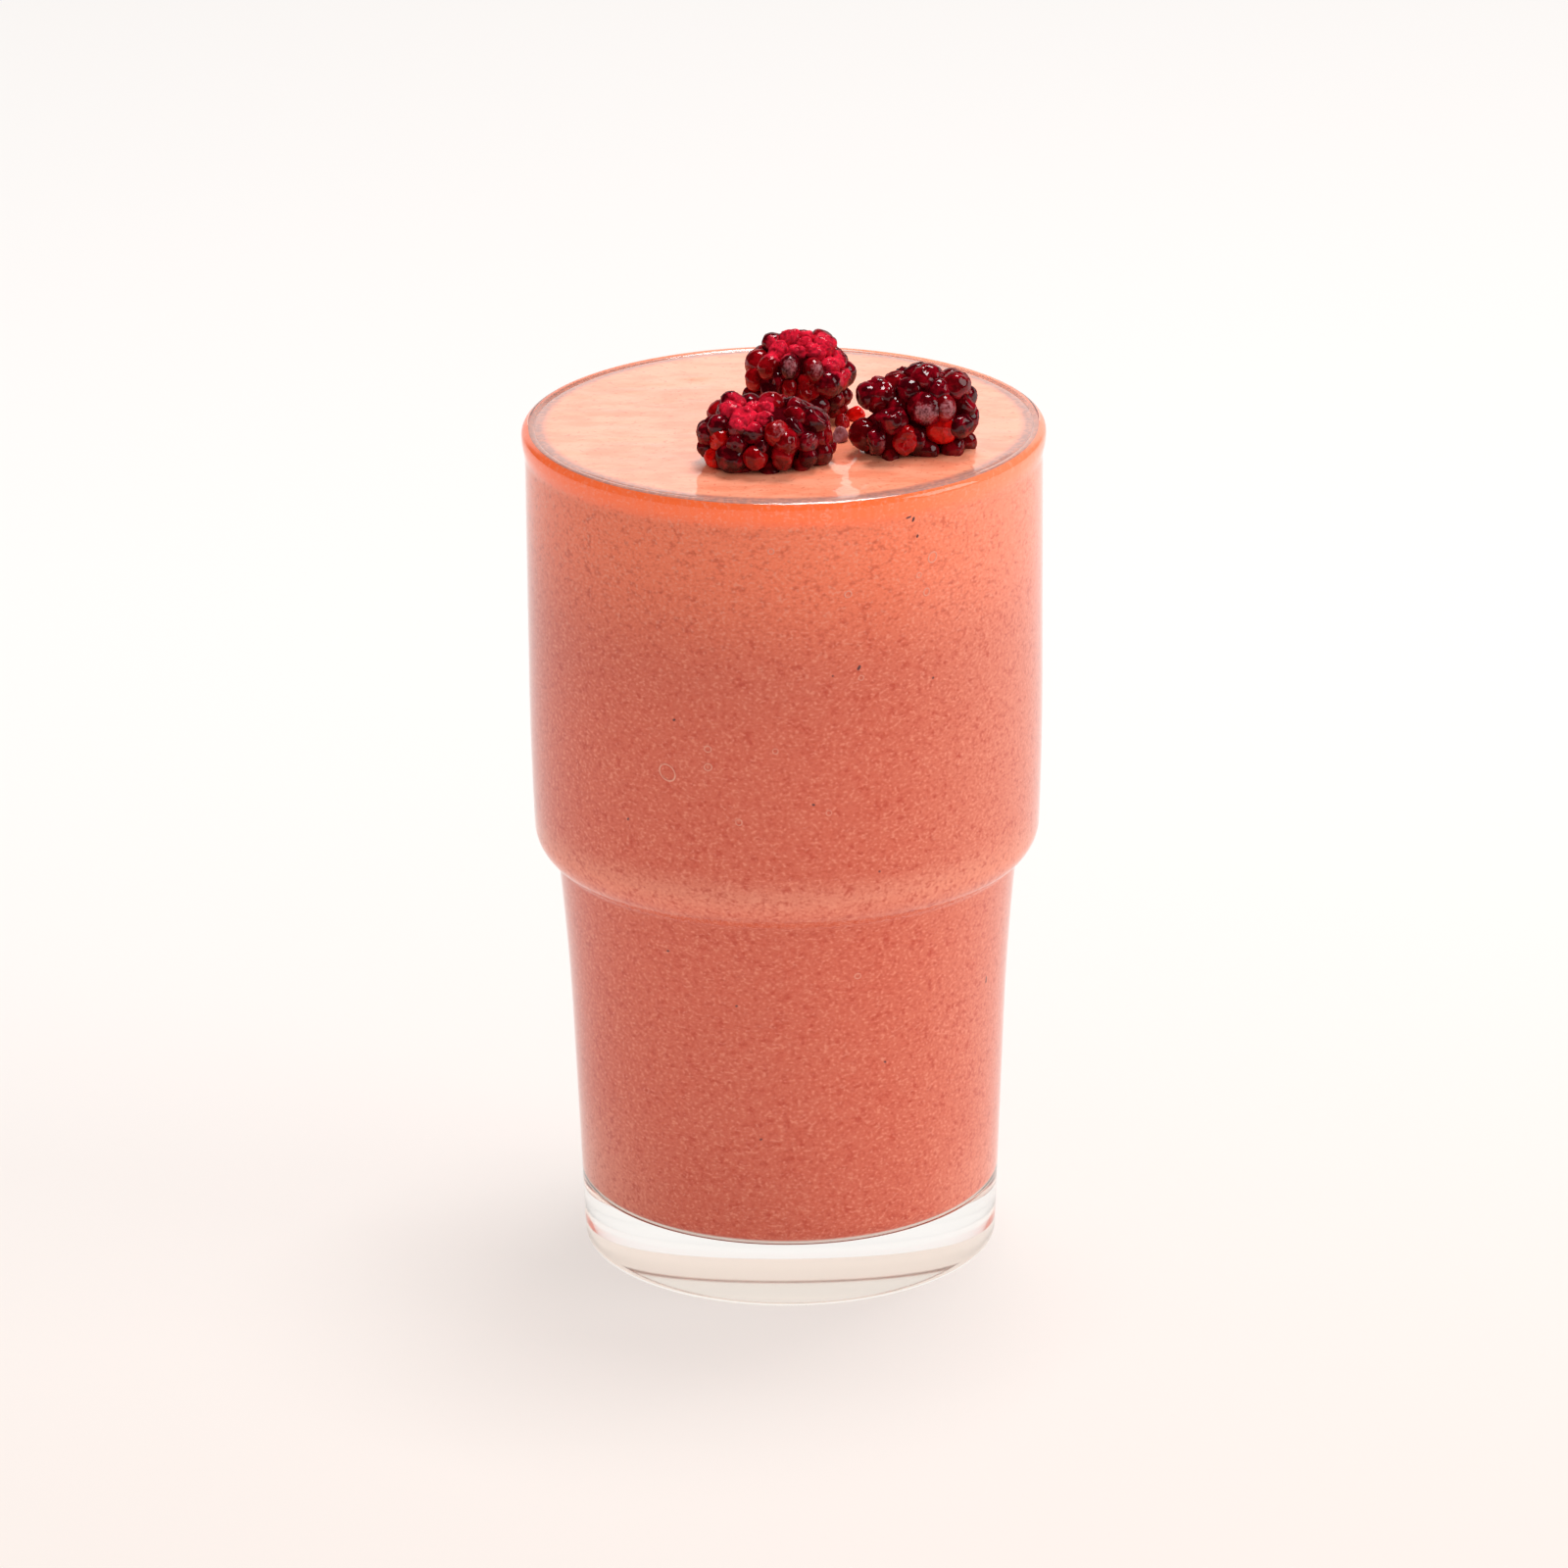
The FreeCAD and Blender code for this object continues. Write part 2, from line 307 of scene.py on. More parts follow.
class DrinkLooks(bpy.types.PropertyGroup):
    """The drink's colours, the size of its flecks, and how it meets the rim."""
    flesh: colour_setting("Flesh", "#d3634a", "Main colour of the blended fruit, deep in the glass")
    # Painted light from above: the flesh is lighter towards the brim.
    upper: colour_setting("Upper flesh", "#f67a54", "The same towards the brim, lit from above")
    glow: colour_setting("Glow", "#ff703e", "The thin edge at the brim, which light shines through")
    froth: colour_setting("Froth", "#fea584", "Colour of the open surface")
    # Also the colour of painted light: the highlight band over the shoulder and the paler right side.
    pale: colour_setting("Pale grain", "#ee9a80", "Colour of the finest bubbles and threads in it")
    film: colour_setting("Film", "#ab7b71", "Where the surface thins out over the rim")
    # Painted shade: the dark line where the drink meets the rim.
    mottle: colour_setting("Mottles", "#b92c10", "Colour of the fine bits of fruit skin in it")
    mottle_share: number_setting("Mottle strength", 0.6, "How strongly those bits show, from 0 to 1")
    glow_strength: number_setting("Glow strength", 0.15, "Light through the brim, white being 1")
    mottle_size: length_setting("Mottle size", 1.2, "Spacing of those bits")
    into_wall: length_setting("Reach into wall", 0.12, "How far into the glass, so that no gap shows")
    edge_drop: length_setting("Edge drop", 0.4, "How far the surface falls to where it meets the rim")
    edge_width: length_setting("Edge width", 1.6, "How far from the rim the surface starts to fall")
    over_rim: length_setting("Over rim", 1.4, "How far it wets the rounded inner edge of the rim")
    rim_glow: length_setting("Rim glow", 3.9, "How far down the bead the lit edge of the drink shows")


class BerryLooks(bpy.types.PropertyGroup):
    """The berries' colours."""
    skin: colour_setting("Skin", "#3a0209", "Dark skin of a ripe drupelet")
    flush: colour_setting("Flush", "#7a0515", "Where juice shows through the skin")
    bright: colour_setting("Bright drupelets", "#d80f08", "Drupelets that light shines through")
    # Ice crystals with a painted sheen: the pale tops stand in for light off wet skin as well.
    frost_and_sheen: colour_setting("Frost", "#ad6f76", "Frost on the dark skin")
    crown: colour_setting("Crown", "#d81f38", "Frozen juice on the berries' crowns")
    fading: colour_setting("Faded crown", "#9c1c2e", "Frozen juice where it is thin and dry")


class StageSettings(bpy.types.PropertyGroup):
    """Camera and light."""
    lens: number_setting("Lens", 202.5, "Focal length of the camera, in millimetres")
    distance: length_setting("Distance", 1415.0, "From the camera to the tumbler's axis")
    aim_height: length_setting("Aim height", 77.1, "Height on the axis that the camera looks at")
    aim_side: length_setting("Aim side", 0.44, "How far left of the axis it looks")
    pitch: angle_setting("Pitch", 0.3505, "How far the camera looks down")
    roll: angle_setting("Roll", 0.0087, "How far the camera leans")
    fill: number_setting("Fill", 0.62, "Strength of the light from all round")
    key: number_setting("Key", 0.32, "Light that the right softbox adds to what faces it, white being 1")
    top: number_setting("Top", 0.75, "Light that the top softbox adds to what faces it, white being 1")
    key_size: length_setting("Key size", 700.0, "Width of the right softbox")
    top_size: length_setting("Top size", 420.0, "Width of the top softbox")


# ---- Tumbler ----
def outer_radii(sizes):
    """The outside's radii from the top down: rim, wide part, ledge, neck and the top of the flare."""
    rim = GLASS_HIGH.x
    body = rim - sizes.bead_proud
    ledge = body - sizes.body_taper
    neck = ledge - sizes.ledge_step
    return rim, body, ledge, neck, neck - sizes.flare_step


def outer_corners(sizes):
    """The outside of the tumbler, from the edge of the punt to the top of the rim."""
    rim, body, ledge, neck, flare = outer_radii(sizes)
    foot, top = flare - sizes.foot_step, GLASS_HIGH.z
    slope = math.tan(sizes.ledge_slope)
    return [
        (foot - sizes.foot_ring, GLASS_LOW.z, 0),
        (foot, GLASS_LOW.z, sizes.foot_round),
        (flare, sizes.shoulder_height - sizes.flare_drop, sizes.flare_round),
        (neck, sizes.shoulder_height, sizes.crease_round),
        (ledge, sizes.shoulder_height + sizes.ledge_step * slope, sizes.shoulder_round),
        (body, sizes.shoulder_height + sizes.taper_rise, sizes.taper_round),
        (body, top - sizes.bead_height, sizes.bead_height),
        (rim, top - sizes.bead_height / 2, sizes.bead_height),
        (rim, top, sizes.rim_wall / 2),
        (rim - sizes.rim_wall, top, sizes.rim_wall / 2),
    ]


def inner_corners(sizes, top, proud=0.0):
    """The inside of the wall, from a height in the mouth to the middle of the floor. Proud moves it out
    into the glass."""
    rim, body, ledge, neck, flare = outer_radii(sizes)
    floor_height = DRINK_LOW.z
    flare_height = sizes.shoulder_height - sizes.flare_drop
    floor = flare - sizes.foot_step * (1 - floor_height / flare_height)
    slope = math.tan(sizes.ledge_slope)
    over = sizes.body_wall / math.cos(sizes.ledge_slope)
    crease = sizes.shoulder_height - sizes.lower_wall * slope + over
    shoulder = ledge - sizes.body_wall
    return [
        (rim - sizes.rim_wall + proud, top, 0),
        (rim - sizes.rim_wall + proud, GLASS_HIGH.z - sizes.bead_height / 2, sizes.bead_height),
        (body - sizes.body_wall + proud, sizes.shoulder_height + sizes.taper_rise, sizes.taper_round),
        (shoulder + proud, crease + (shoulder - neck + sizes.lower_wall) * slope - proud, sizes.inner_round),
        (neck - sizes.lower_wall + proud, crease - proud, sizes.inner_crease),
        (flare - sizes.lower_wall + proud, flare_height, sizes.flare_round),
        (floor - sizes.lower_wall + proud, floor_height - proud, sizes.inner_round),
        (0, floor_height - proud, 0),
    ]


def punt_profile(sizes, edge):
    """The shallow dome under the foot: height falls with the square of the radius, from the axis out."""
    radius = np.linspace(0, edge, 24)[:-1]
    return np.stack([radius, GLASS_LOW.z + sizes.punt_depth * (1 - (radius / edge) ** 2)], axis=-1)


def glass_material(sizes):
    """Clear pressed soda-lime glass, fire polished: smooth, colourless, with bright edges where it is seen
    at a slant. Light for the drink goes straight through it."""
    material, tree = new_material("soda-lime glass, fire polished")
    glass = add_node(
        tree, BSDF,
        {"Base Color": linear("#fdfdfb"), "Roughness": 0.0, "IOR": sizes.refraction,
         "Transmission Weight": 1.0})
    clear = add_node(tree, "ShaderNodeBsdfTransparent", {"Color": (1.0, 1.0, 1.0)})
    path = add_node(tree, "ShaderNodeLightPath").outputs
    lighting = add_node(tree, MATH, (path["Is Shadow Ray"], path["Is Diffuse Ray"]), **MOST)
    mix = add_node(tree, "ShaderNodeMixShader", (lighting, glass, clear))
    add_node(tree, OUTPUT, (mix,))
    return material


class OBJECT_OT_lemonade_tumbler(bpy.types.Operator):
    """Turn the tumbler: outside, rim and inside as one closed profile round the Z axis"""
    bl_idname = "object.lemonade_tumbler"
    bl_label = "Tumbler"

    def execute(self, context):
        sizes = context.scene.lemonade_tumbler
        inside = inner_corners(sizes, GLASS_HIGH.z - sizes.rim_wall / 2)
        outside = rounded_profile(outer_corners(sizes) + [inside[0]], WALL_STEP)
        inside = rounded_profile(inside, WALL_STEP)
        punt = punt_profile(sizes, outside[0][0])
        profile = np.concatenate([punt, outside, inside[1:]])
        piece = new_mesh("tumbler", *lathe(profile))
        finish_piece(piece, glass_material(sizes), ["glass"])
        return {"FINISHED"}


# ---- Drink ----
BERRY_FOOT = 0.86          # a berry's outline at the surface, as a share of its box
BANK_HEIGHT, BANK_WIDTH = 0.55 * MM, 1.1 * MM
# Shallow dimples that burst bubbles left in the surface: place across and back, and radius, in millimetres.
DIMPLES = ((-26.5, 9.5, 2.6), (-13.0, 22.0, 2.4), (-20.0, -9.0, 1.6))
DIMPLE_DEPTH = 0.08 * MM
RELIEF_MOST = 0.1 * MM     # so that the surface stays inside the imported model
CALM_FROM, CALM_TO = 1.8 * MM, 0.6 * MM     # where the surface gets even, before the rim
SIDE_STARTS = 1.0 * MM     # how far below the surface the side's profile starts
FLAT_STEPS, EDGE_STEPS = 84, 12
# Long swells, a cross ripple and a finer one: height and size in millimetres, and how drawn out across.
RELIEF = ((0.07, 9.0, 1.0), (0.030, 2.2, 0.45), (0.008, 0.8, 0.5))


def berry_mounds(points):
    """How far the drink climbs round the berries: a bank that fades beyond each one's outline by e to the
    minus distance over its width."""
    lift = np.zeros(len(points))
    for node in BERRY_SHAPES:
        low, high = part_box(node)
        middle = (np.array(low) + np.array(high)) / 2
        half = (np.array(high) - np.array(low)) / 2 * BERRY_FOOT
        away = (points[:, :2] - middle[:2]) / half[:2]
        beyond = (np.linalg.norm(away, axis=1) - 1) * half[:2].mean()
        lift = np.maximum(lift, BANK_HEIGHT * np.exp(-np.maximum(beyond, 0) / BANK_WIDTH))
    return lift


def surface_relief(points):
    """The drink's surface, up and down: smooth noise in three sizes, less dimples whose depth is e to the
    minus fourth power of the way out."""
    relief = np.zeros(len(points))
    for seed, (height, size, drawn_out) in enumerate(RELIEF, 1):
        relief += height * MM * lattice_noise(points * (drawn_out, 1, 0), size * MM, seed)
    for across, back, radius in np.array(DIMPLES) * MM:
        away = np.hypot(points[:, 0] - across, points[:, 1] - back) / radius
        relief -= DIMPLE_DEPTH * np.exp(-away ** 4)
    return relief


def object_place(tree):
    """Places in the object, their three parts, and the distance from the Z axis there."""
    place = add_node(tree, PLACES).outputs["Object"]
    parts = add_node(tree, "ShaderNodeSeparateXYZ", (place,)).outputs
    depth = add_node(tree, MATH, (parts["Y"], parts["Y"]), **TIMES)
    square = add_node(tree, MATH, (parts["X"], parts["X"], depth), **TIMES_PLUS)
    return place, parts, add_node(tree, MATH, (square,), operation="SQRT")


def fruit_pattern(tree, looks):
    """The colour of fruit blended with ice: flesh with painted light from above towards the brim and a
    painted highlight band over the shoulder, grained by fine bubbles, with soft dark bits of skin, paler on
    one side with painted light from the right, and paler low down at both. Returns the colour and the
    painted glow at the brim."""
    place, parts, _ = object_place(tree)
    height, across = parts["Z"], parts["X"]
    brim, shelf_height = DRINK_HIGH.z, GLASS_LOW.z + 71.5 * MM
    streaked, drawn_out = (
        add_node(tree, "ShaderNodeMapping", {"Vector": place, "Scale": scale})
        for scale in ((0.85, 0.85, 1.1), (1.0, 1.0, 0.04)))
    bits, grain, lines = (
        add_node(
            tree, NOISE, {"Vector": where, "Scale": per(size), "Detail": detail, "Roughness": rough})
        for where, size, detail, rough in (
            (streaked, looks.mottle_size, 2.0, 0.7), (streaked, 0.5 * MM, 1.0, 0.5),
            (drawn_out, 0.9 * MM, 0.0, 0.5)))
    aside = add_node(tree, MATH, (across,), operation="ABSOLUTE")
    ledge = add_node(tree, MATH, (height, shelf_height), operation="SUBTRACT")
    ledge = add_node(tree, MATH, (ledge,), operation="ABSOLUTE")
    # Each is a value, where it starts and ends, and what it is there.
    lit, glowing, right, aside, low, cover, dots, fizz, streaks, shelf, back = (
        add_node(tree, RANGE, along, **EASED) for along in (
            # painted light from above, lighter towards the brim
            (height, brim - 32 * MM, brim - 7 * MM, 0.0, 1.0),
            # painted glow at the brim
            (height, brim - 4.9 * MM, brim - 2.3 * MM, 0.0, 1.0),
            # painted light from the right: paler on that side
            (across, 12 * MM, 41 * MM, 0.0, 0.4),
            (aside, 16 * MM, 33 * MM, 0.0, 0.55),
            (height, 34 * MM, 13 * MM, 0.0, 1.0),
            (bits, 0.5, 0.72, 0.0, looks.mottle_share),
            (grain, 0.47, 0.30, 0.0, looks.mottle_share / 2),
            (grain, 0.52, 0.74, 0.0, 0.5),
            (lines, 0.5, 0.66, 0.0, 0.4),
            # painted highlight: a pale band over the shoulder
            (ledge, 0.0, 5.0 * MM, 0.5, 0.0),
            (parts["Y"], 0.0, 30 * MM, 0.0, 0.85)))
    low = add_node(tree, MATH, (low, aside), **TIMES)
    # Painted light on the right side, and paler low down at both sides.
    right_light_and_pale_low = add_node(tree, MATH, (right, low), **MOST)
    faint, calm = (
        add_node(tree, MATH, (where, less, 1.0), **TIMES_PLUS)
        for where, less in ((lit, -0.25), (glowing, -0.9)))
    calm = add_node(tree, MATH, (faint, calm), **TIMES)
    cover, dots, streaks = (
        add_node(tree, MATH, (where, share), **TIMES)
        for where, share in ((calm, cover), (calm, dots), (glowing, streaks)))
    edge = add_node(tree, MIX, {0: back, 6: looks.glow, 7: looks.froth}, **COLOUR)
    colour = looks.flesh
    for share, over in (
            (lit, looks.upper), (glowing, edge), (shelf, looks.pale), (right_light_and_pale_low, looks.pale),
            (dots, looks.mottle), (cover, looks.mottle), (fizz, looks.pale), (streaks, looks.upper)):
        colour = add_node(tree, MIX, {0: share, 6: colour, 7: over}, **COLOUR)
    return colour, glowing


def drink_against_glass(looks):
    """Blended fruit pressed against the wall: matt and opaque there, but seen through glass, which bends
    light more than the drink does, it mirrors at a slant like the inside of a prism. A pale ring of painted
    light lies round its foot, underneath, which shows in the thick glass base. At the brim it has a painted
    glow, in place of light from the open surface coming through."""
    material, tree = new_material("blended berry and lemon against glass")
    colour, glowing = fruit_pattern(tree, looks)
    _, parts, out = object_place(tree)
    # Painted light: the outer edge of the underside is pale, which shows as a light band in the glass base.
    low, ring = (
        add_node(tree, RANGE, along) for along in (
            (parts["Z"], DRINK_LOW.z + 0.9 * MM, DRINK_LOW.z + 1.4 * MM, 1.0, 0.0),
            (out, 24 * MM, 27 * MM, 0.0, 1.0)))
    ring = add_node(tree, MATH, (low, ring), **TIMES)
    colour = add_node(tree, MIX, {0: ring, 6: colour, 7: linear("#f2e8e0")}, **COLOUR)
    body = add_node(tree, "ShaderNodeBsdfDiffuse", {"Color": colour})
    # Painted glow: the brim's edge gives off light of its own, in place of light shining through the thin
    # drink.
    strength = add_node(tree, MATH, (glowing, looks.glow_strength), **TIMES)
    through = add_node(tree, "ShaderNodeEmission", {"Color": looks.glow, "Strength": strength})
    body = add_node(tree, "ShaderNodeAddShader", (body, through))
    prism = add_node(tree, "ShaderNodeBsdfGlossy", {"Color": linear("#f3ebe4"), "Roughness": 0.08})
    slant = add_node(tree, "ShaderNodeFresnel", {"IOR": 1.35 / 1.52})    # the drink's over the glass's
    mix = add_node(tree, "ShaderNodeMixShader", (slant, body, prism))
    add_node(tree, OUTPUT, (mix,))
    material.cycles.emission_sampling = "NONE"
    return material


def drink_surface(looks):
    """The open surface of blended fruit: pale froth, faintly streaked, and wet, so that at a slant it
    mirrors what is low behind it, while from above it is dull. Where it thins out over the glass rim it is
    speckled with painted grey-brown shade, for the dark line where the drink meets the rim."""
    material, tree = new_material("froth of blended berry and lemon")
    place, _, out = object_place(tree)
    streaked = add_node(tree, "ShaderNodeMapping", {"Vector": place, "Scale": (0.5, 1.0, 1.0)})
    ripple = add_node(
        tree, NOISE, {"Vector": streaked, "Scale": per(3.4 * MM), "Detail": 3.0, "Roughness": 0.62})
    specks = add_node(tree, NOISE, {"Vector": place, "Scale": per(0.8 * MM), "Detail": 1.0})
    slant = add_node(tree, "ShaderNodeLayerWeight", {"Blend": 0.5}).outputs["Facing"]
    deeper, dark, thin, speckled, wet = (
        add_node(tree, RANGE, along, **EASED) for along in (
            (ripple, 0.36, 0.66, 0.0, 0.5), (specks, 0.6, 0.75, 0.0, 0.3),
            (out, 37.0 * MM, 38.7 * MM, 0.0, 1.0), (specks, 0.36, 0.6, 0.75, 1.0),
            (slant, 0.3, 0.7, 0.06, 1.0)))
    # Painted shade: speckled grey-brown where the surface thins out over the rim.
    thin = add_node(tree, MATH, (thin, speckled), **TIMES)
    colour = looks.froth
    for share, over in ((deeper, looks.upper), (dark, looks.mottle), (thin, looks.film)):
        colour = add_node(tree, MIX, {0: share, 6: colour, 7: over}, **COLOUR)
    bump = add_node(tree, "ShaderNodeBump", {"Height": ripple, "Strength": 0.3, "Distance": 0.22 * MM})
    shader = add_node(
        tree, BSDF,
        {"Base Color": colour, "Roughness": 0.25, "IOR": 1.4, "Specular IOR Level": 0.1,
         "Coat Weight": wet, "Coat Roughness": 0.05, "Coat IOR": 1.55, "Normal": bump})
    add_node(tree, OUTPUT, (shader,))
    return material


def drink_profile(sizes, looks):
    """From the middle of the surface out to where it wets the rim, back to the wall under the bead, down it
    and in over the floor. The surface's edge falls as the square of the way to the rim."""
    crown = DRINK_HIGH.z
    contact = crown - looks.edge_drop
    inside = rounded_profile(inner_corners(sizes, crown - SIDE_STARTS, looks.into_wall), WALL_STEP)
    edge = inside[0][0] - looks.into_wall + looks.over_rim
    inside = inside[inside[:, 1] < crown - looks.rim_glow]
    start = edge - looks.edge_width
    flat = np.linspace(0, start, FLAT_STEPS)[:-1]
    rounding = np.linspace(0, 1, EDGE_STEPS)
    top = np.concatenate([
        np.stack([flat, np.full(len(flat), crown)], axis=-1),
        np.stack([start + rounding * (edge - start), crown - (crown - contact) * rounding ** 2], axis=-1),
    ])
    return np.concatenate([top, inside]), len(top)


class OBJECT_OT_lemonade_drink(bpy.types.Operator):
    """Turn the drink: a wet, slightly uneven surface to the brim, and a side that reaches into the wall"""
    bl_idname = "object.lemonade_drink"
    bl_label = "Drink"

    def execute(self, context):
        looks = context.scene.lemonade_drink
        profile, top_rows = drink_profile(context.scene.lemonade_tumbler, looks)
        points, quads, fans = lathe(profile)
        surface = points[:1 + (top_rows - 1) * AROUND]
        edge = profile[top_rows - 1][0]
        way_out = np.hypot(surface[:, 0], surface[:, 1])
        inner = 1 - smooth_step(edge - CALM_FROM, edge - CALM_TO, way_out)
        lift = np.minimum(surface_relief(surface), RELIEF_MOST) + berry_mounds(surface)
        surface[:, 2] += inner * lift
        piece = new_mesh("lemonade", points, quads, fans)
        finish_piece(piece, drink_surface(looks), ["drink"])
        piece.data.materials.append(drink_against_glass(looks))
        against = np.concatenate([
            np.arange(len(quads)) // AROUND >= top_rows - 2, np.repeat([False, True], AROUND)])
        piece.data.polygons.foreach_set("material_index", against.astype(np.int32))
        return {"FINISHED"}


# ---- Berries ----
# Each berry replaces the node it is named after. Its lobes are ellipsoids in the node's box: centre and half
# sizes as shares of the box's half sizes. Its marks are what is unlike the rest of it: the kind, the way to
# it from the middle of the box in shares of its half sizes, how far round it reaches in radians, and its
# strength. A crown is frozen juice, frost_and_sheen is dull ice crystals with a painted sheen, bright is
# painted light shining through, open is a burst skin, and a pit is hollow.
BERRY_SHAPES = {
    "berry_front": dict(
        turn=5.0, drupelet=2.0 * MM, seed=3, lobes=((0, 0, 0, 1, 1, 1),), marks=(
            ("crown", (-0.22, -0.33, 0.9), 0.7, 1.0), ("crown", (-0.25, -0.66, 0.68), 0.46, 0.9),
            ("frost_and_sheen", (0.33, -0.21, 0.92), 0.36, 0.8), ("frost_and_sheen", (-0.44, -0.75, 0.49), 0.24, 0.8),
            ("frost_and_sheen", (0.17, -0.93, 0.32), 0.2, 0.9), ("frost_and_sheen", (0.56, -0.72, 0.3), 0.24, 0.6),
            ("bright", (-0.79, -0.61, 0.03), 0.26, 0.6), ("bright", (-0.86, -0.41, -0.31), 0.26, 0.9),
            ("bright", (-0.72, -0.53, -0.5), 0.26, 0.9), ("bright", (-0.16, -0.96, -0.22), 0.2, 0.3),
            ("pit", (0.10, -0.99, 0.02), 0.2, 0.7), ("open", (0.02, -0.78, 0.62), 0.2, 0.6),
            ("open", (0.38, -0.8, 0.46), 0.2, 0.5))),
    "berry_right": dict(
        turn=-8.0, drupelet=2.1 * MM, seed=11,
        lobes=(
            (0.16, 0.16, 0.0, 0.84, 0.84, 1.0), (-0.42, -0.26, -0.36, 0.58, 0.7, 0.64),
            (-0.62, 0.1, 0.36, 0.38, 0.44, 0.38)),
        marks=(
            ("frost_and_sheen", (-0.07, -0.76, 0.65), 0.26, 0.9), ("frost_and_sheen", (0.34, -0.78, 0.52), 0.26, 1.0),
            ("frost_and_sheen", (0.64, -0.62, 0.46), 0.26, 1.0), ("frost_and_sheen", (0.51, -0.33, 0.79), 0.24, 0.6),
            ("frost_and_sheen", (-0.22, -0.09, 0.97), 0.24, 0.5), ("frost_and_sheen", (0.87, -0.49, -0.08), 0.24, 0.5),
            ("bright", (0.76, -0.62, -0.28), 0.26, 0.75), ("bright", (-0.03, -0.97, -0.23), 0.24, 0.4),
            ("open", (-0.48, -0.85, 0.22), 0.24, 1.0), ("open", (-0.48, -0.83, -0.28), 0.22, 0.7),
            ("open", (-0.03, -0.93, -0.33), 0.2, 0.7), ("pit", (-0.06, -0.98, 0.1), 0.52, 1.0))),
    "berry_back": dict(
        turn=20.0, drupelet=2.05 * MM, seed=7, lobes=((0, 0, 0, 1, 1, 1),), marks=(
            ("crown", (0.08, -0.23, 0.97), 0.75, 1.0), ("crown", (-0.38, -0.38, 0.84), 0.55, 0.9),
            ("crown", (0.72, -0.41, 0.56), 0.6, 0.95), ("crown", (0.88, -0.42, 0.2), 0.5, 0.8),
            ("frost_and_sheen", (-0.23, -0.79, 0.57), 0.26, 1.0), ("frost_and_sheen", (0.3, -0.77, 0.57), 0.3, 1.0),
            ("frost_and_sheen", (0.55, -0.83, 0.07), 0.22, 0.7), ("pit", (-0.19, -0.96, 0.22), 0.26, 1.0),
            ("pit", (0.36, -0.89, 0.24), 0.2, 0.7), ("open", (0.17, -0.99, 0.0), 0.24, 0.9),
            ("open", (-0.49, -0.86, 0.11), 0.2, 0.8), ("bright", (-0.87, -0.47, 0.15), 0.2, 0.3),
            ("bright", (0.17, -0.99, 0.0), 0.2, 0.3))),
}
PITCH = 1.7                # drupelets, centre to centre, in their radii
ASTRAY = 0.14              # how far they stray from their even places, in their radii
LOWEST = -0.94             # how far down a lobe they go, in shares of its half height
BALL_ROWS, BALL_AROUND = 18, 28
SMALL_MARK = 0.3           # a mark that reaches less far than this is a single drupelet
MOVES = 0.4                # which moves this share of the way to the mark
HOLLOW = 0.9               # where a pit is this strong, there are no drupelets at all
CORE_DEPTH = 1.12          # how far the core stays inside a lobe, in drupelet radii


def lobe_drupelets(middle, half, turn, size, seed, chance):
    """Rings of drupelets down a dome: each ring's drupelets evenly spread and every second ring turned by
    half a step, all a little astray. Above its middle the dome is an ellipsoid; below, it sags, out to where
    the fourth powers of the way across and the way down add up to 1. Returns centres and outward axes."""
    half = np.asarray(half) - size
    mean_half = (half[0] + half[1] + 2 * half[2]) / 4
    rings = max(3, round(math.pi * mean_half / (PITCH * size * math.sqrt(0.75))))
    directions = []
    for ring in range(rings):
        level = math.pi * (ring + 0.5) / rings
        reach = math.sin(level) * (half[0] + half[1]) / 2
        count = max(3, round(ABOUT_Z * reach / (PITCH * size)))
        way = ABOUT_Z * (np.arange(count) + ring % 2 / 2) / count + seed
        way += chance.normal(0, ASTRAY, count) * size / max(reach, size)
        lift = level + chance.normal(0, ASTRAY, count) * size / mean_half
        flat = np.sin(lift)
        directions.append(np.stack([flat * np.cos(way), flat * np.sin(way), np.cos(lift)], 1))
    direction = np.concatenate(directions)
    direction = direction[direction[:, 2] > LOWEST]
    across = np.hypot(direction[:, 0], direction[:, 1])
    fuller = (across ** 4 + direction[:, 2] ** 4) ** -0.25
    direction *= np.where(direction[:, 2] < 0, fuller, 1)[:, None]
    turned = np.array(Matrix.Rotation(math.radians(turn), 3, "Z"))
    return middle + (direction * half) @ turned.T, unit((direction / half) @ turned.T)


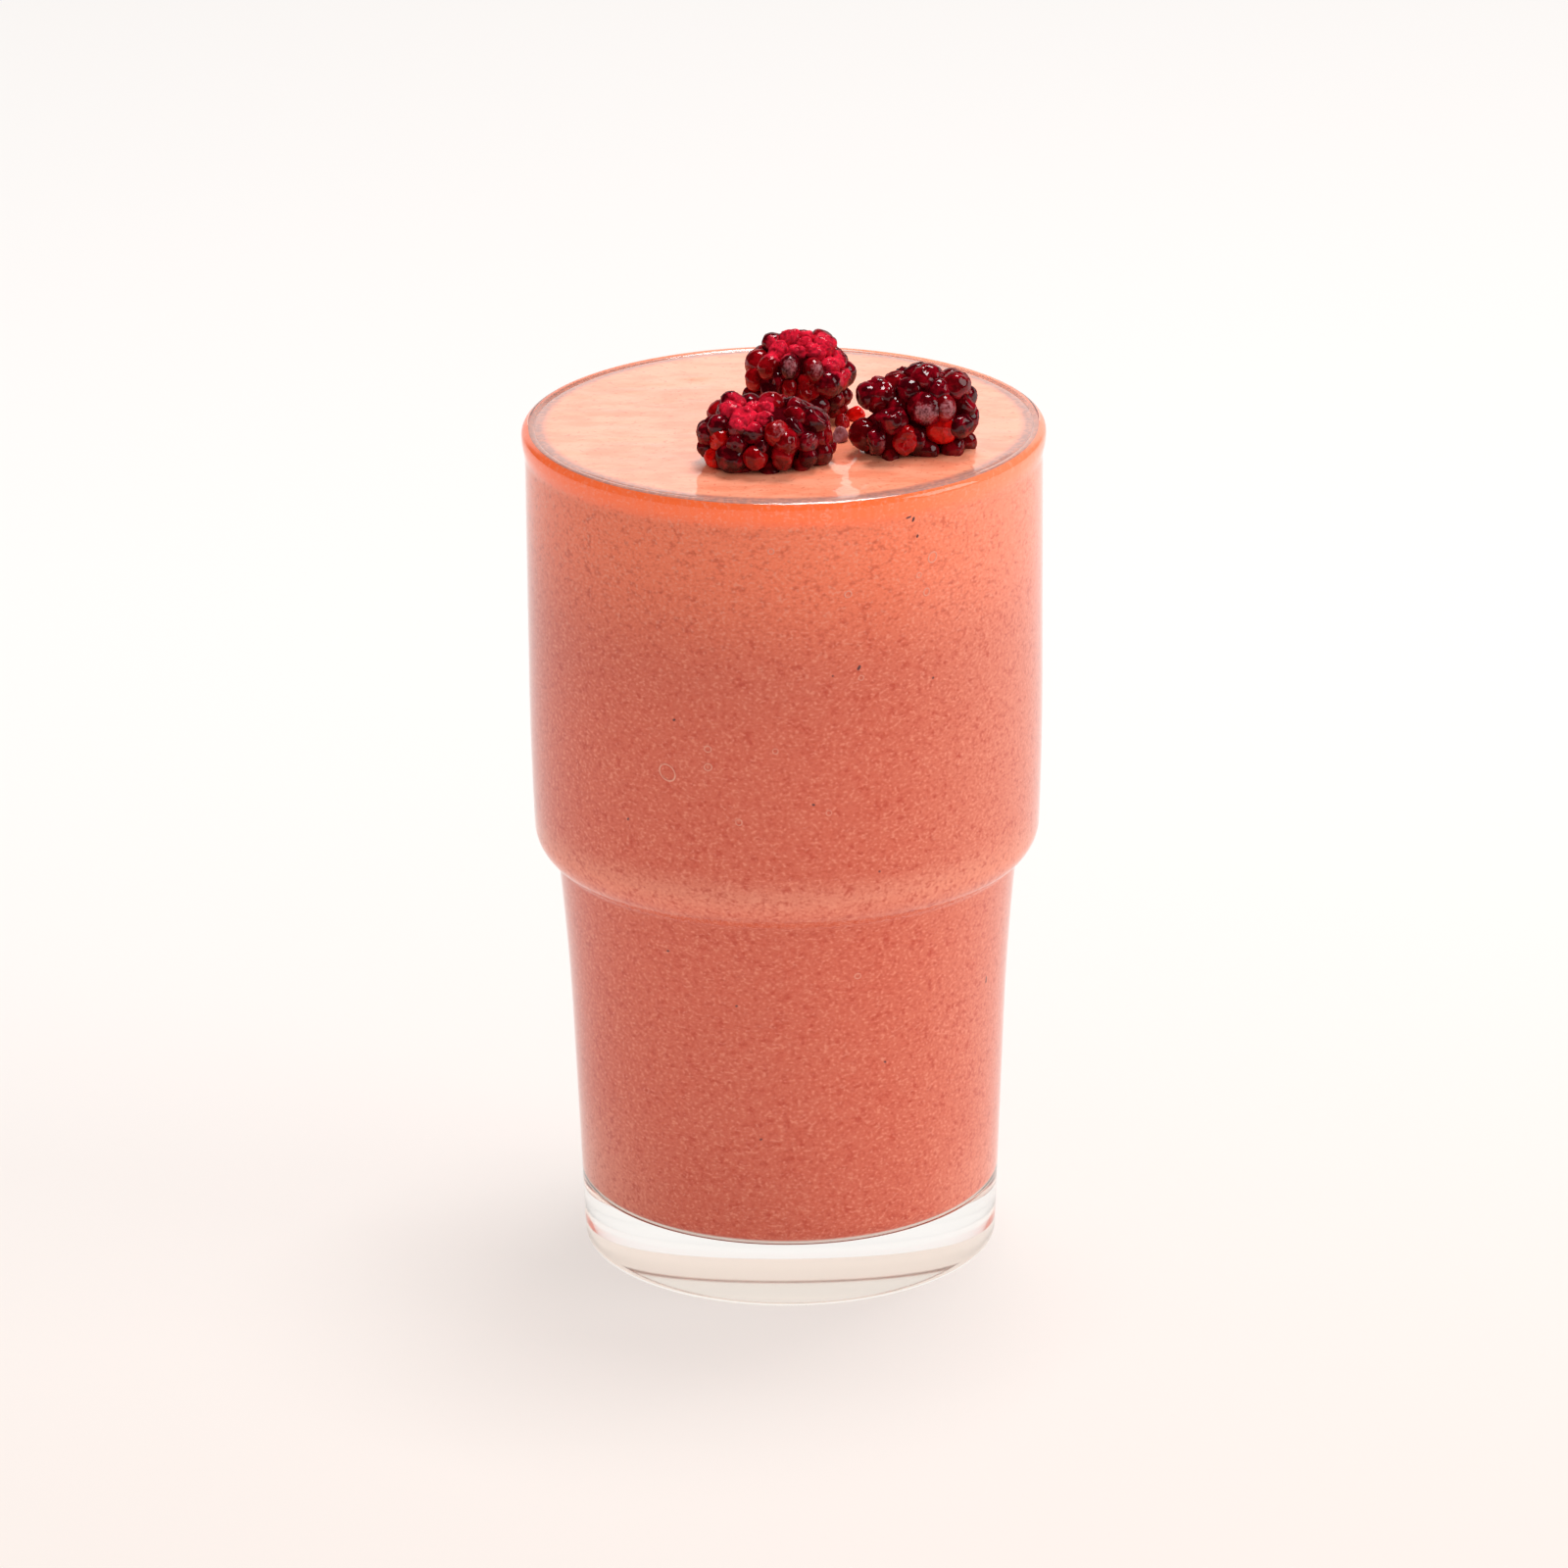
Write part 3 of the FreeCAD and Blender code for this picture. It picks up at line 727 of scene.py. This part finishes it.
def drupelet_surface(centres, axes, radii, dents, wrinkle, seed):
    """Each drupelet is a sphere whose radius is R (1 + w noise - d exp(-(u / 0.75)^4) + d / 6 at its lip),
    where u is the angle from its outward axis, w its wrinkling and d the depth of its dent, then drawn out
    or squashed along one way across that axis. Returns the points as (drupelet, point, xyz), and u for each
    point."""
    u = np.linspace(0, math.pi, BALL_ROWS + 2)
    v = np.linspace(0, ABOUT_Z, BALL_AROUND, endpoint=False)
    ball = np.stack(
        [np.sin(u)[1:-1, None] * np.cos(v), np.sin(u)[1:-1, None] * np.sin(v),
         np.repeat(np.cos(u)[1:-1, None], BALL_AROUND, 1)], axis=-1)
    ball = with_poles(ball, (0, 0, 1), (0, 0, -1))
    angle = np.arccos(np.clip(ball[:, 2], -1, 1))
    helper = np.where(np.abs(axes[:, 2:3]) < 0.9, (0.0, 0.0, 1.0), (1.0, 0.0, 0.0))
    side = unit(np.cross(helper, axes))
    way = sum(
        ball[:, i, None] * axis[:, None] for i, axis in enumerate((side, np.cross(axes, side), axes)))
    own = way + np.arange(len(centres))[:, None, None] * 7.3        # no two drupelets share their folds
    folds = 0.55 * lattice_noise(own, 0.8, seed)
    folds += 0.45 * (1 - 2 * np.abs(lattice_noise(own, 0.42, seed + 5)))
    cup = np.exp(-(angle / 0.75) ** 4) - np.exp(-((angle - 0.95) / 0.25) ** 2) / 6
    share = 1 + wrinkle[:, None] * folds - dents[:, None] * cup
    squash = 0.22 * np.sin(5.1 * np.arange(len(centres)))[:, None, None] - 0.06
    along = (way * side[:, None]).sum(-1, keepdims=True) * side[:, None]
    way = way + along * np.where(wrinkle[:, None, None] > 0, squash, 0)
    return centres[:, None] + way * (radii[:, None] * share)[..., None], angle


def mark_share(marks, kind, directions):
    """How much of a kind of mark is in each direction: the strongest that reaches it, fading from half its
    reach to the whole."""
    share = np.zeros(directions.shape[:-1])
    for name, toward, reach, strength in marks:
        if name == kind:
            cosine = directions @ np.array(toward) / np.linalg.norm(toward)
            fading = 1 - smooth_step(reach / 2, reach, np.arccos(np.clip(cosine, -1, 1)))
            share = np.maximum(share, strength * fading)
    return share


def berry_material(looks):
    """Thawing bramble skin: nearly black where it is thick, wine red where juice shows, wet and shiny but
    not mirror bright at a slant, with dull ice crystals and a painted sheen on marked drupelets and a little
    on most that face up, painted light shining through bright ones, and frozen juice, matt and crimson, on
    the crown."""
    material, tree = new_material("bramble skin, half thawed")
    place = add_node(tree, PLACES).outputs["Object"]
    patches, crystals, streaks = (
        add_node(tree, NOISE, {"Vector": place, "Scale": per(size), "Detail": 2.0, "Roughness": 0.6})
        for size in (1.5 * MM, 0.34 * MM, 0.8 * MM))
    shine_through, frost_sheen_share, crowning = (
        add_node(tree, "ShaderNodeAttribute", attribute_name=name).outputs["Fac"]
        for name in ("brightness", "frost_and_sheen", "crown"))
    slant = add_node(tree, "ShaderNodeLayerWeight", {"Blend": 0.5}).outputs["Facing"]
    # Ice crystals and painted sheen, in one mask and one colour.
    frost_sheen_level = add_node(tree, MATH, (crystals, streaks), operation="ADD")
    frost_sheen_level = add_node(tree, MATH, (frost_sheen_share, 2.0, frost_sheen_level), **TIMES_PLUS)
    crust = add_node(tree, MATH, (streaks, crowning), operation="ADD")
    flushed, through, frost_sheen_cover, crowned, faded, thawed, slant = (
        add_node(tree, RANGE, along, **EASED) for along in (
            (patches, 0.42, 0.68, 0.0, 1.0), (patches, 0.36, 0.56, 0.6, 1.0), (frost_sheen_level, 1.9, 2.5, 0.0, 0.85),
            (crust, 0.78, 1.1, 0.0, 1.0), (streaks, 0.44, 0.6, 0.0, 0.8), (patches, 0.5, 0.7, 0.0, 0.7),
            (slant, 0.5, 0.95, 1.0, 0.25)))
    # Painted light: bright red where light would shine through a drupelet.
    through = add_node(tree, MATH, (shine_through, through), **TIMES)
    juice = looks.crown
    for share, over in ((faded, looks.fading), (thawed, looks.flush)):
        juice = add_node(tree, MIX, {0: share, 6: juice, 7: over}, **COLOUR)
    colour = looks.skin
    for share, over in (
            (flushed, looks.flush), (through, looks.bright), (frost_sheen_cover, looks.frost_and_sheen), (crowned, juice)):
        colour = add_node(tree, MIX, {0: share, 6: colour, 7: over}, **COLOUR)
    covered = add_node(tree, MATH, (frost_sheen_cover, crowned), **MOST)
    wet = add_node(tree, RANGE, (covered, 0.0, 0.9, 0.8, 0.2), **EASED)
    wet = add_node(tree, MATH, (wet, slant), **TIMES)
    bump = add_node(tree, "ShaderNodeBump", {"Height": streaks, "Strength": 0.5, "Distance": 0.35 * MM})
    shader = add_node(
        tree, BSDF,
        {"Base Color": colour, "Roughness": 0.5, "Specular IOR Level": 0.0, "Coat Weight": wet,
         "Coat Roughness": 0.05, "Coat IOR": 1.45, "Normal": bump})
    add_node(tree, OUTPUT, (shader,))
    return material


def flecked_material(name, size, colours, kind, looks):
    """A shader of this kind, given these looks, whose colour varies between two by noise of this size."""
    material, tree = new_material(name)
    place = add_node(tree, PLACES).outputs["Object"]
    flecks = add_node(tree, NOISE, {"Vector": place, "Scale": per(size), "Detail": 2.0})
    first, second = (linear(hex_colour) for hex_colour in colours)
    colour = add_node(tree, MIX, {0: flecks, 6: first, 7: second}, **COLOUR)
    shader = add_node(tree, kind, {0: colour, **looks})
    add_node(tree, OUTPUT, (shader,))
    return material


def ball_mesh(name, balls, shares):
    """One mesh of many balls, each as drupelet_surface gives it, with a number at each vertex for each of
    the shares."""
    quads, fans = pole_faces(BALL_ROWS, BALL_AROUND)
    steps = np.arange(len(balls))[:, None, None] * balls.shape[1]
    piece = new_mesh(
        name, balls.reshape(-1, 3), (quads + steps).reshape(-1, 4), (fans + steps).reshape(-1, 3))
    for share, values in shares.items():
        point_attribute(piece, share, values)
    return piece


def build_berry(node, shape, material):
    """One berry: the drupelets of its lobes, each with its own wrinkles, over plain, dark, juicy cores that
    show between them, all drawn to the node's box."""
    chance = np.random.default_rng(shape["seed"])
    low, high = (np.array(corner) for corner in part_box(node))
    middle, half = (low + high) / 2, (high - low) / 2
    size, marks = shape["drupelet"], shape["marks"]
    lobes = [(middle + half * lobe[:3], half * lobe[3:]) for lobe in np.array(shape["lobes"], float)]
    found = []
    for i, (centre, reach) in enumerate(lobes):
        centres, axes = lobe_drupelets(centre, reach, shape["turn"], size, shape["seed"], chance)
        keep = centres[:, 2] + size > DRINK_HIGH.z
        for j, (other, other_reach) in enumerate(lobes):
            if i != j:
                keep &= (((centres - other) / (other_reach - size)) ** 2).sum(1) > 1
        found.append((centres[keep], axes[keep]))
    centres, axes = (np.concatenate(arrays) for arrays in zip(*found))
    direction = unit((centres - middle) / half)
    for kind, toward, reach, _ in marks:
        if reach < SMALL_MARK and kind != "pit":
            toward = unit(np.array(toward))
            nearest = np.argmax(direction @ toward)
            centres[nearest] += half * (toward - direction[nearest]) * MOVES
            direction[nearest] = toward
    hollow = mark_share(marks, "pit", direction) > HOLLOW
    centres, axes, direction = centres[~hollow], axes[~hollow], direction[~hollow]
    count = len(centres)
    pit, cup, frost_sheen_marks, crusted, lit = (
        mark_share(marks, kind, direction) for kind in ("pit", "open", "frost_and_sheen", "crown", "bright"))
    # Drupelets face a little astray, and burst ones far. Where the berry is hollow or crusted they are
    # small, and those round a hollow lie deeper.
    lean = chance.normal(0, 0.45, (count, 3)) * cup[:, None]
    axes = unit(axes + lean + 0.12 * chance.normal(0, 1, (count, 3)))
    growth = (1 + 0.2 * chance.uniform(-1, 1, count)) * (1 + 0.1 * frost_sheen_marks - 0.3 * pit - 0.22 * crusted)
    centres -= axes * (size * (pit + 0.28 * chance.uniform(-1, 1, count)))[:, None]
    # Skins are wrinkled, least under frost, and nearly half of them are dented, the burst ones deepest.
    wrinkle = chance.uniform(0.06, 0.24, count) + 0.2 * crusted + 0.06 * cup - 0.08 * frost_sheen_marks
    dents = np.where(chance.random(count) < 0.45, chance.uniform(0.1, 0.45, count), 0.0)
    dents = np.maximum(dents * (1 - frost_sheen_marks), 0.6 * cup)
    balls, way = drupelet_surface(
        centres, axes, size * growth, dents, np.maximum(wrinkle, 0.02), shape["seed"])
    plain, _ = drupelet_surface(
        np.zeros((1, 3)), np.array([[0, 0, 1.0]]), np.ones(1), np.zeros(1), np.zeros(1), 0)
    cores = [centre + plain * (reach - size * CORE_DEPTH) for centre, reach in lobes]
    around = unit((balls - middle) / half)
    least, most = balls.min((0, 1)), balls.max((0, 1))
    every = low + (np.concatenate([balls, *cores]) - least) * (high - low) / (most - least)
    # Ice crystals and painted sheen lie in a patch round each drupelet's outer end; a little on most facing
    # up.
    patch = np.exp(-way ** 4)[None, :]
    upward_sheen = chance.uniform(0.0, 0.36, count) * np.clip(axes[:, 2] + 0.5, 0, 1)
    # Painted light shining through: a few drupelets at random, and the bright marks.
    bright = np.maximum(0.3 * chance.random(count) ** 3, lit)
    shares = {
        "frost_and_sheen": patch * np.maximum(upward_sheen, 0.62 * frost_sheen_marks)[:, None],
        "crown": 0.72 * mark_share(marks, "crown", around),
        "brightness": np.repeat(bright[:, None], balls.shape[1], 1)}
    blank = np.zeros((len(cores), balls.shape[1]))
    piece = ball_mesh(
        node + "_skin", every, {name: np.concatenate([share, blank]) for name, share in shares.items()})
    finish_piece(piece, material, [node])
    piece.data.materials.append(flecked_material(
        "bramble flesh", 0.8 * MM, ("#1c0103", "#5a0610"), "ShaderNodeBsdfDiffuse", {}))
    ball = [np.repeat(np.arange(len(every)), len(faces)) for faces in pole_faces(BALL_ROWS, BALL_AROUND)]
    piece.data.polygons.foreach_set(
        "material_index", (np.concatenate(ball) >= count).astype(np.int32))


class OBJECT_OT_lemonade_berries(bpy.types.Operator):
    """Build the three berries from rings of drupelets"""
    bl_idname = "object.lemonade_berries"
    bl_label = "Berries"

    def execute(self, context):
        material = berry_material(context.scene.lemonade_berries)
        for node, shape in BERRY_SHAPES.items():
            build_berry(node, shape, material)
        return {"FINISHED"}


# ---- Scraps, seeds and bubbles ----
# Bits of berry that broke off: place above the drink and radius in millimetres, then stretch along its own
# axis, dent, how much painted light shines through it, and how much ice crystal and painted sheen it has.
SCRAPS = (
    ((11.4, 1.2, 0.9), 1.35, 1.25, 0.15, 1.0, 0.0),
    ((9.3, -2.2, 0.7), 1.5, 0.8, 0.35, 0.35, 0.45),
    ((8.9, -9.4, 0.9), 1.45, 0.85, 0.5, 0.25, 0.75),
)
SCRAP_WRINKLE = 0.14


class OBJECT_OT_lemonade_scraps(bpy.types.Operator):
    """Lay the loose bits of thawed berry between the berries: dented balls, stretched along their axes"""
    bl_idname = "object.lemonade_scraps"
    bl_label = "Scraps"

    def execute(self, context):
        chance = np.random.default_rng(21)
        count = len(SCRAPS)
        centres = np.array([place for place, *_ in SCRAPS]) * MM + (0, 0, DRINK_HIGH.z)
        radii, stretch, dents, bright, frost_and_sheen = np.array([rest for _, *rest in SCRAPS]).T
        axes = unit(chance.normal(0, 1, (count, 3)) * (1, 0.6, 0.4) + (0, -0.8, 0.9))    # up and forward
        balls, _ = drupelet_surface(
            np.zeros((count, 3)), axes, radii * MM, dents, np.full(count, SCRAP_WRINKLE), 31)
        along = (balls * axes[:, None]).sum(-1, keepdims=True) * axes[:, None]
        balls = centres[:, None] + balls + along * (stretch - 1)[:, None, None]
        shares = {"frost_and_sheen": frost_and_sheen, "crown": np.zeros(count), "brightness": bright}
        piece = ball_mesh("scraps", balls, {
            name: np.repeat(share[:, None], balls.shape[1], 1) for name, share in shares.items()})
        finish_piece(piece, berry_material(context.scene.lemonade_berries))
        return {"FINISHED"}


# Dark bits of skin and seed against the wall: degrees round from the front, height, half length and half
# width in millimetres, and degrees of lean.
SEEDS = (
    (16.5, 110.2, 0.42, 0.24, 60), (35.0, 106.5, 0.24, 0.16, 20), (10.5, 109.2, 0.14, 0.13, 0),
    (-26.0, 101.0, 0.24, 0.16, 30), (6.0, 88.0, 0.22, 0.15, -30), (-39.0, 82.8, 0.26, 0.16, 50),
    (21.5, 75.8, 0.22, 0.15, 10), (66.0, 48.8, 0.6, 0.2, 85), (29.4, 133.4, 0.46, 0.2, 70),
    (28.2, 133.9, 0.42, 0.16, 15), (30.5, 130.5, 0.26, 0.15, 80), (-14.0, 52.0, 0.24, 0.14, 15),
    (27.0, 41.0, 0.26, 0.15, -20), (-33.0, 60.0, 0.3, 0.13, 5), (-8.0, 29.0, 0.22, 0.14, 40),
    (140.0, 96.0, 0.34, 0.2, 20), (-118.0, 112.0, 0.3, 0.18, 60), (170.0, 61.0, 0.26, 0.16, 0),
    (97.0, 84.0, 0.3, 0.16, 45), (-152.0, 78.0, 0.24, 0.18, 10),
)
SEED_WRINKLE, SEED_THICKNESS = 0.3, 0.09
# Bubbles caught against the wall: degrees round from the front, height and radius in millimetres, stretch
# and degrees of lean.
BUBBLES = (
    (-28.0, 92.0, 1.2, 1.22, -45), (9.5, 86.5, 0.42, 1, 0), (-11.0, 85.0, 0.5, 1, 0),
    (-18.0, 93.8, 0.56, 1.1, 20), (-18.0, 96.8, 0.5, 1.1, 0), (-2.5, 97.0, 0.42, 1, 0),
    (14.0, 122.5, 0.5, 1.1, 40), (34.5, 126.5, 0.72, 1.2, 60), (18.5, 56.8, 0.45, 1.1, 0),
    (31.0, 124.0, 0.42, 1, 0), (33.0, 121.0, 0.5, 1.2, 70), (-3.0, 130.0, 0.45, 1, 0),
    (17.0, 108.5, 0.4, 1, 0), (150.0, 101.0, 0.6, 1.1, 0), (-130.0, 92.0, 0.8, 1.2, 30),
    (112.0, 117.0, 0.5, 1, 0),
)
STAND = 0.02 * MM          # how far the rings stand out of the drink
RING_STEPS, ROUND_STEPS = 28, 8


def against_wall(scene, degrees, height, stand, lean):
    """Points just inside the wall, and for each the way out and two ways along the wall, the first one
    leaning out of the level by this many degrees. The radius is the drink's own at each height, plus how
    far the bit stands out."""
    profile, top_rows = drink_profile(scene.lemonade_tumbler, scene.lemonade_drink)
    side = profile[:top_rows - 2:-1]
    radius = np.interp(height, side[:, 1], side[:, 0]) + stand
    turn, lean = np.radians(degrees), np.radians(lean)[:, None]
    level = np.zeros(len(turn))
    out = np.stack([np.sin(turn), -np.cos(turn), level], -1)
    around = np.stack([np.cos(turn), np.sin(turn), level], -1)
    up = np.array([0, 0, 1.0])
    first = around * np.cos(lean) + up * np.sin(lean)
    second = up * np.cos(lean) - around * np.sin(lean)
    return out * radius[:, None] + up * height[:, None], out, first, second


class OBJECT_OT_lemonade_seeds(bpy.types.Operator):
    """Press bits of dark skin and seed against the wall: flattened, wrinkled balls"""
    bl_idname = "object.lemonade_seeds"
    bl_label = "Seeds"

    def execute(self, context):
        degrees, height, long, wide, lean = np.array(SEEDS, float).T
        centres, out, first, second = against_wall(context.scene, degrees, height * MM, 0.0, lean)
        count = len(degrees)
        balls, _ = drupelet_surface(
            np.zeros((count, 3)), out, np.ones(count), np.zeros(count), np.full(count, SEED_WRINKLE), 41)
        thick = np.full(count, SEED_THICKNESS)
        balls = sum(
            (balls * way[:, None]).sum(-1, keepdims=True) * (way * reach[:, None] * MM)[:, None]
            for way, reach in ((first, long), (second, wide), (out, thick)))
        piece = ball_mesh("seeds", centres[:, None] + balls, {})
        finish_piece(piece, flecked_material(
            "bramble seeds and skins", 0.5 * MM, ("#1d1216", "#6e2024"), BSDF,
            {"Roughness": 0.6, "IOR": 1.4}))
        return {"FINISHED"}


class OBJECT_OT_lemonade_bubbles(bpy.types.Operator):
    """Lay thin pale rings, the edges of bubbles, on the wall: a circle carried round a stretched circle"""
    bl_idname = "object.lemonade_bubbles"
    bl_label = "Bubbles"

    def execute(self, context):
        degrees, height, radius, stretch, lean = np.array(BUBBLES, float).T
        centres, out, first, second = (
            array[:, None, None] for array in against_wall(context.scene, degrees, height * MM, STAND, lean))
        radius, stretch = radius[:, None, None, None] * MM, stretch[:, None, None, None]
        u = np.linspace(0, ABOUT_Z, RING_STEPS, endpoint=False)[None, :, None, None]
        v = np.linspace(0, ABOUT_Z, ROUND_STEPS, endpoint=False)[None, None, :, None]
        wall = 0.05 * MM + 0.05 * radius
        across = radius + wall * np.cos(v)
        rings = centres + across * (stretch * first * np.cos(u) + second * np.sin(u))
        rings = rings + out * wall * np.sin(v)
        here = np.arange(rings[..., 0].size).reshape(rings.shape[:3])
        next_row = np.roll(here, -1, 1)
        quads = np.stack([here, next_row, np.roll(next_row, -1, 2), np.roll(here, -1, 2)], -1)
        piece = new_mesh("bubbles", rings.reshape(-1, 3), quads.reshape(-1, 4), NO_TRIANGLES)
        finish_piece(piece, flecked_material(
            "bubble walls of lemon froth", 0.9 * MM, ("#d9745c", "#f2b39c"), BSDF,
            {"Roughness": 0.5, "IOR": 1.34}))
        return {"FINISHED"}


# ---- Stage ----
RIGHT_SOFTBOX = (1.1, -0.25, 0.75)
TOP_SOFTBOX = (0.15, 0.25, 1.25)
FLOOR_REACH = 4.0
FLOOR_GLOW = 0.7           # the floor's share of its own light, where it is seen


def add_camera(stage):
    """Looks down at the tumbler from the front, through a long lens."""
    data = bpy.data.cameras.new("camera")
    data.lens = stage.lens
    camera = bpy.data.objects.new("camera", data)
    away = Vector((0, -math.cos(stage.pitch), math.sin(stage.pitch))) * stage.distance
    place = Vector((-stage.aim_side, 0, stage.aim_height)) + away
    tilt = Matrix.Rotation(math.pi / 2 - stage.pitch, 4, "X")
    lean = Matrix.Rotation(-stage.roll, 4, "Z")
    camera.matrix_world = Matrix.Translation(place) @ tilt @ lean
    bpy.context.scene.collection.objects.link(camera)
    bpy.context.scene.camera = camera


def add_softbox(name, place, size, level):
    """A square area lamp that faces the middle of the tumbler. A surface that faces it gets the level given,
    on the scale on which a white world gives 1: its power is level x pi^2 x distance^2."""
    data = bpy.data.lights.new(name, "AREA")
    data.shape = "SQUARE"
    data.size = size
    aim = Vector((0, 0, GLASS_HIGH.z / 2)) - Vector(place)
    data.energy = level * math.pi ** 2 * aim.length_squared
    lamp = bpy.data.objects.new(name, data)
    lamp.matrix_world = Matrix.Translation(place) @ aim.to_track_quat("-Z", "Y").to_matrix().to_4x4()
    bpy.context.scene.collection.objects.link(lamp)


def white_room(fill):
    """The world: near white where it is seen, by itself or through glass, and an even fill for everything
    it lights. Mirrored, it is white in one window low down behind and dim elsewhere, so that the dark fruit
    shows no grey veil."""
    world = bpy.data.worlds.new("white room")
    bpy.context.scene.world = world
    world.use_nodes = True
    tree = world.node_tree
    tree.nodes.clear()
    path = add_node(tree, "ShaderNodeLightPath").outputs
    direction = add_node(tree, PLACES).outputs["Generated"]
    sideways, back, up = add_node(tree, "ShaderNodeSeparateXYZ", (direction,)).outputs
    sideways = add_node(tree, MATH, (sideways,), operation="ABSOLUTE")
    behind, overhead, aside = (add_node(tree, RANGE, along, **EASED) for along in (
        (back, 0.6, 0.9, 0.04, 1.0), (up, 0.36, 0.5, 1.0, 0.15), (sideways, 0.4, 0.65, 1.0, 0.1)))
    window = add_node(tree, MATH, (behind, overhead), **TIMES)
    window = add_node(tree, MATH, (window, aside), **TIMES)
    seen, mirrored, lighting = (
        add_node(tree, "ShaderNodeBackground", {"Color": linear(colour), "Strength": level})
        for colour, level in (("#fefbf9", 1.0), ("#fffaf7", window), ("#fffaf6", fill)))
    plain = add_node(tree, MATH, (path["Is Camera Ray"], path["Is Transmission Ray"]), **MOST)
    gloss = add_node(tree, "ShaderNodeMixShader", (path["Is Glossy Ray"], lighting, mirrored))
    whole = add_node(tree, "ShaderNodeMixShader", (plain, gloss, seen))
    add_node(tree, "ShaderNodeOutputWorld", (whole,))


def floor_material():
    """White painted board: matt, seen partly by its own light, so that it stays white with a soft shadow."""
    material, tree = new_material("white board")
    path = add_node(tree, "ShaderNodeLightPath").outputs
    place = add_node(tree, PLACES).outputs["Object"]
    back = add_node(tree, "ShaderNodeSeparateXYZ", (place,)).outputs["Y"]
    far = add_node(tree, RANGE, (back, -0.25, 0.35, 0.0, 1.0), **EASED)
    tone = add_node(tree, MIX, {0: far, 6: linear("#faf0ea"), 7: linear("#fffcfa")}, **COLOUR)
    board = add_node(tree, "ShaderNodeBsdfDiffuse", {"Color": tone})
    glow = add_node(tree, "ShaderNodeEmission", {"Color": tone, "Strength": 0.9})
    seen = add_node(tree, MATH, (path["Is Camera Ray"], path["Is Glossy Ray"]), **MOST)
    seen = add_node(tree, MATH, (seen, path["Is Transmission Ray"]), **MOST)
    share = add_node(tree, MATH, (seen, FLOOR_GLOW), **TIMES)
    mix = add_node(tree, "ShaderNodeMixShader", (share, board, glow))
    add_node(tree, OUTPUT, (mix,))
    return material


class OBJECT_OT_lemonade_stage(bpy.types.Operator):
    """Set the camera, the white floor, the softboxes and the room"""
    bl_idname = "object.lemonade_stage"
    bl_label = "Stage"

    def execute(self, context):
        stage = context.scene.lemonade_stage
        context.scene.view_settings.view_transform = "Standard"
        add_camera(stage)
        add_softbox("softbox right", RIGHT_SOFTBOX, stage.key_size, stage.key)
        add_softbox("softbox top", TOP_SOFTBOX, stage.top_size, stage.top)
        white_room(stage.fill)
        level = GLASS_LOW.z - 0.02 * MM         # so that the glass does not touch it face to face
        corners = np.array([
            (x * FLOOR_REACH, y * FLOOR_REACH, level) for x, y in ((-1, -1), (1, -1), (1, 1), (-1, 1))])
        floor = new_mesh("floor", corners, np.array([[0, 1, 2, 3]]), NO_TRIANGLES)
        floor.data.materials.append(floor_material())
        return {"FINISHED"}


# ---- Add-on ----
OPERATORS = (
    OBJECT_OT_lemonade_stage,
    OBJECT_OT_lemonade_tumbler,
    OBJECT_OT_lemonade_drink,
    OBJECT_OT_lemonade_berries,
    OBJECT_OT_lemonade_scraps,
    OBJECT_OT_lemonade_seeds,
    OBJECT_OT_lemonade_bubbles,
)
SETTINGS = {
    "lemonade_tumbler": TumblerSizes,
    "lemonade_drink": DrinkLooks,
    "lemonade_berries": BerryLooks,
    "lemonade_stage": StageSettings,
}


class VIEW3D_PT_lemonade(bpy.types.Panel):
    """Lists what can be built, with its settings"""
    bl_idname = "VIEW3D_PT_lemonade"
    bl_label = "Berry lemonade"
    bl_space_type = "VIEW_3D"
    bl_region_type = "UI"
    bl_category = "Lemonade"

    def draw(self, context):
        for operator in OPERATORS:
            self.layout.operator(operator.bl_idname)
        for name, group in SETTINGS.items():
            box = self.layout.box()
            for setting in group.__annotations__:
                box.prop(getattr(context.scene, name), setting)


def register():
    for group in (*SETTINGS.values(), *OPERATORS, VIEW3D_PT_lemonade):
        bpy.utils.register_class(group)
    for name, group in SETTINGS.items():
        setattr(bpy.types.Scene, name, bpy.props.PointerProperty(type=group))


def unregister():
    for name in SETTINGS:
        delattr(bpy.types.Scene, name)
    for group in (VIEW3D_PT_lemonade, *reversed(OPERATORS), *reversed(SETTINGS.values())):
        bpy.utils.unregister_class(group)


def main():
    register()
    for operator in OPERATORS:
        getattr(bpy.ops.object, operator.bl_idname.split(".")[1])()


if __name__ == "__main__":
    main()
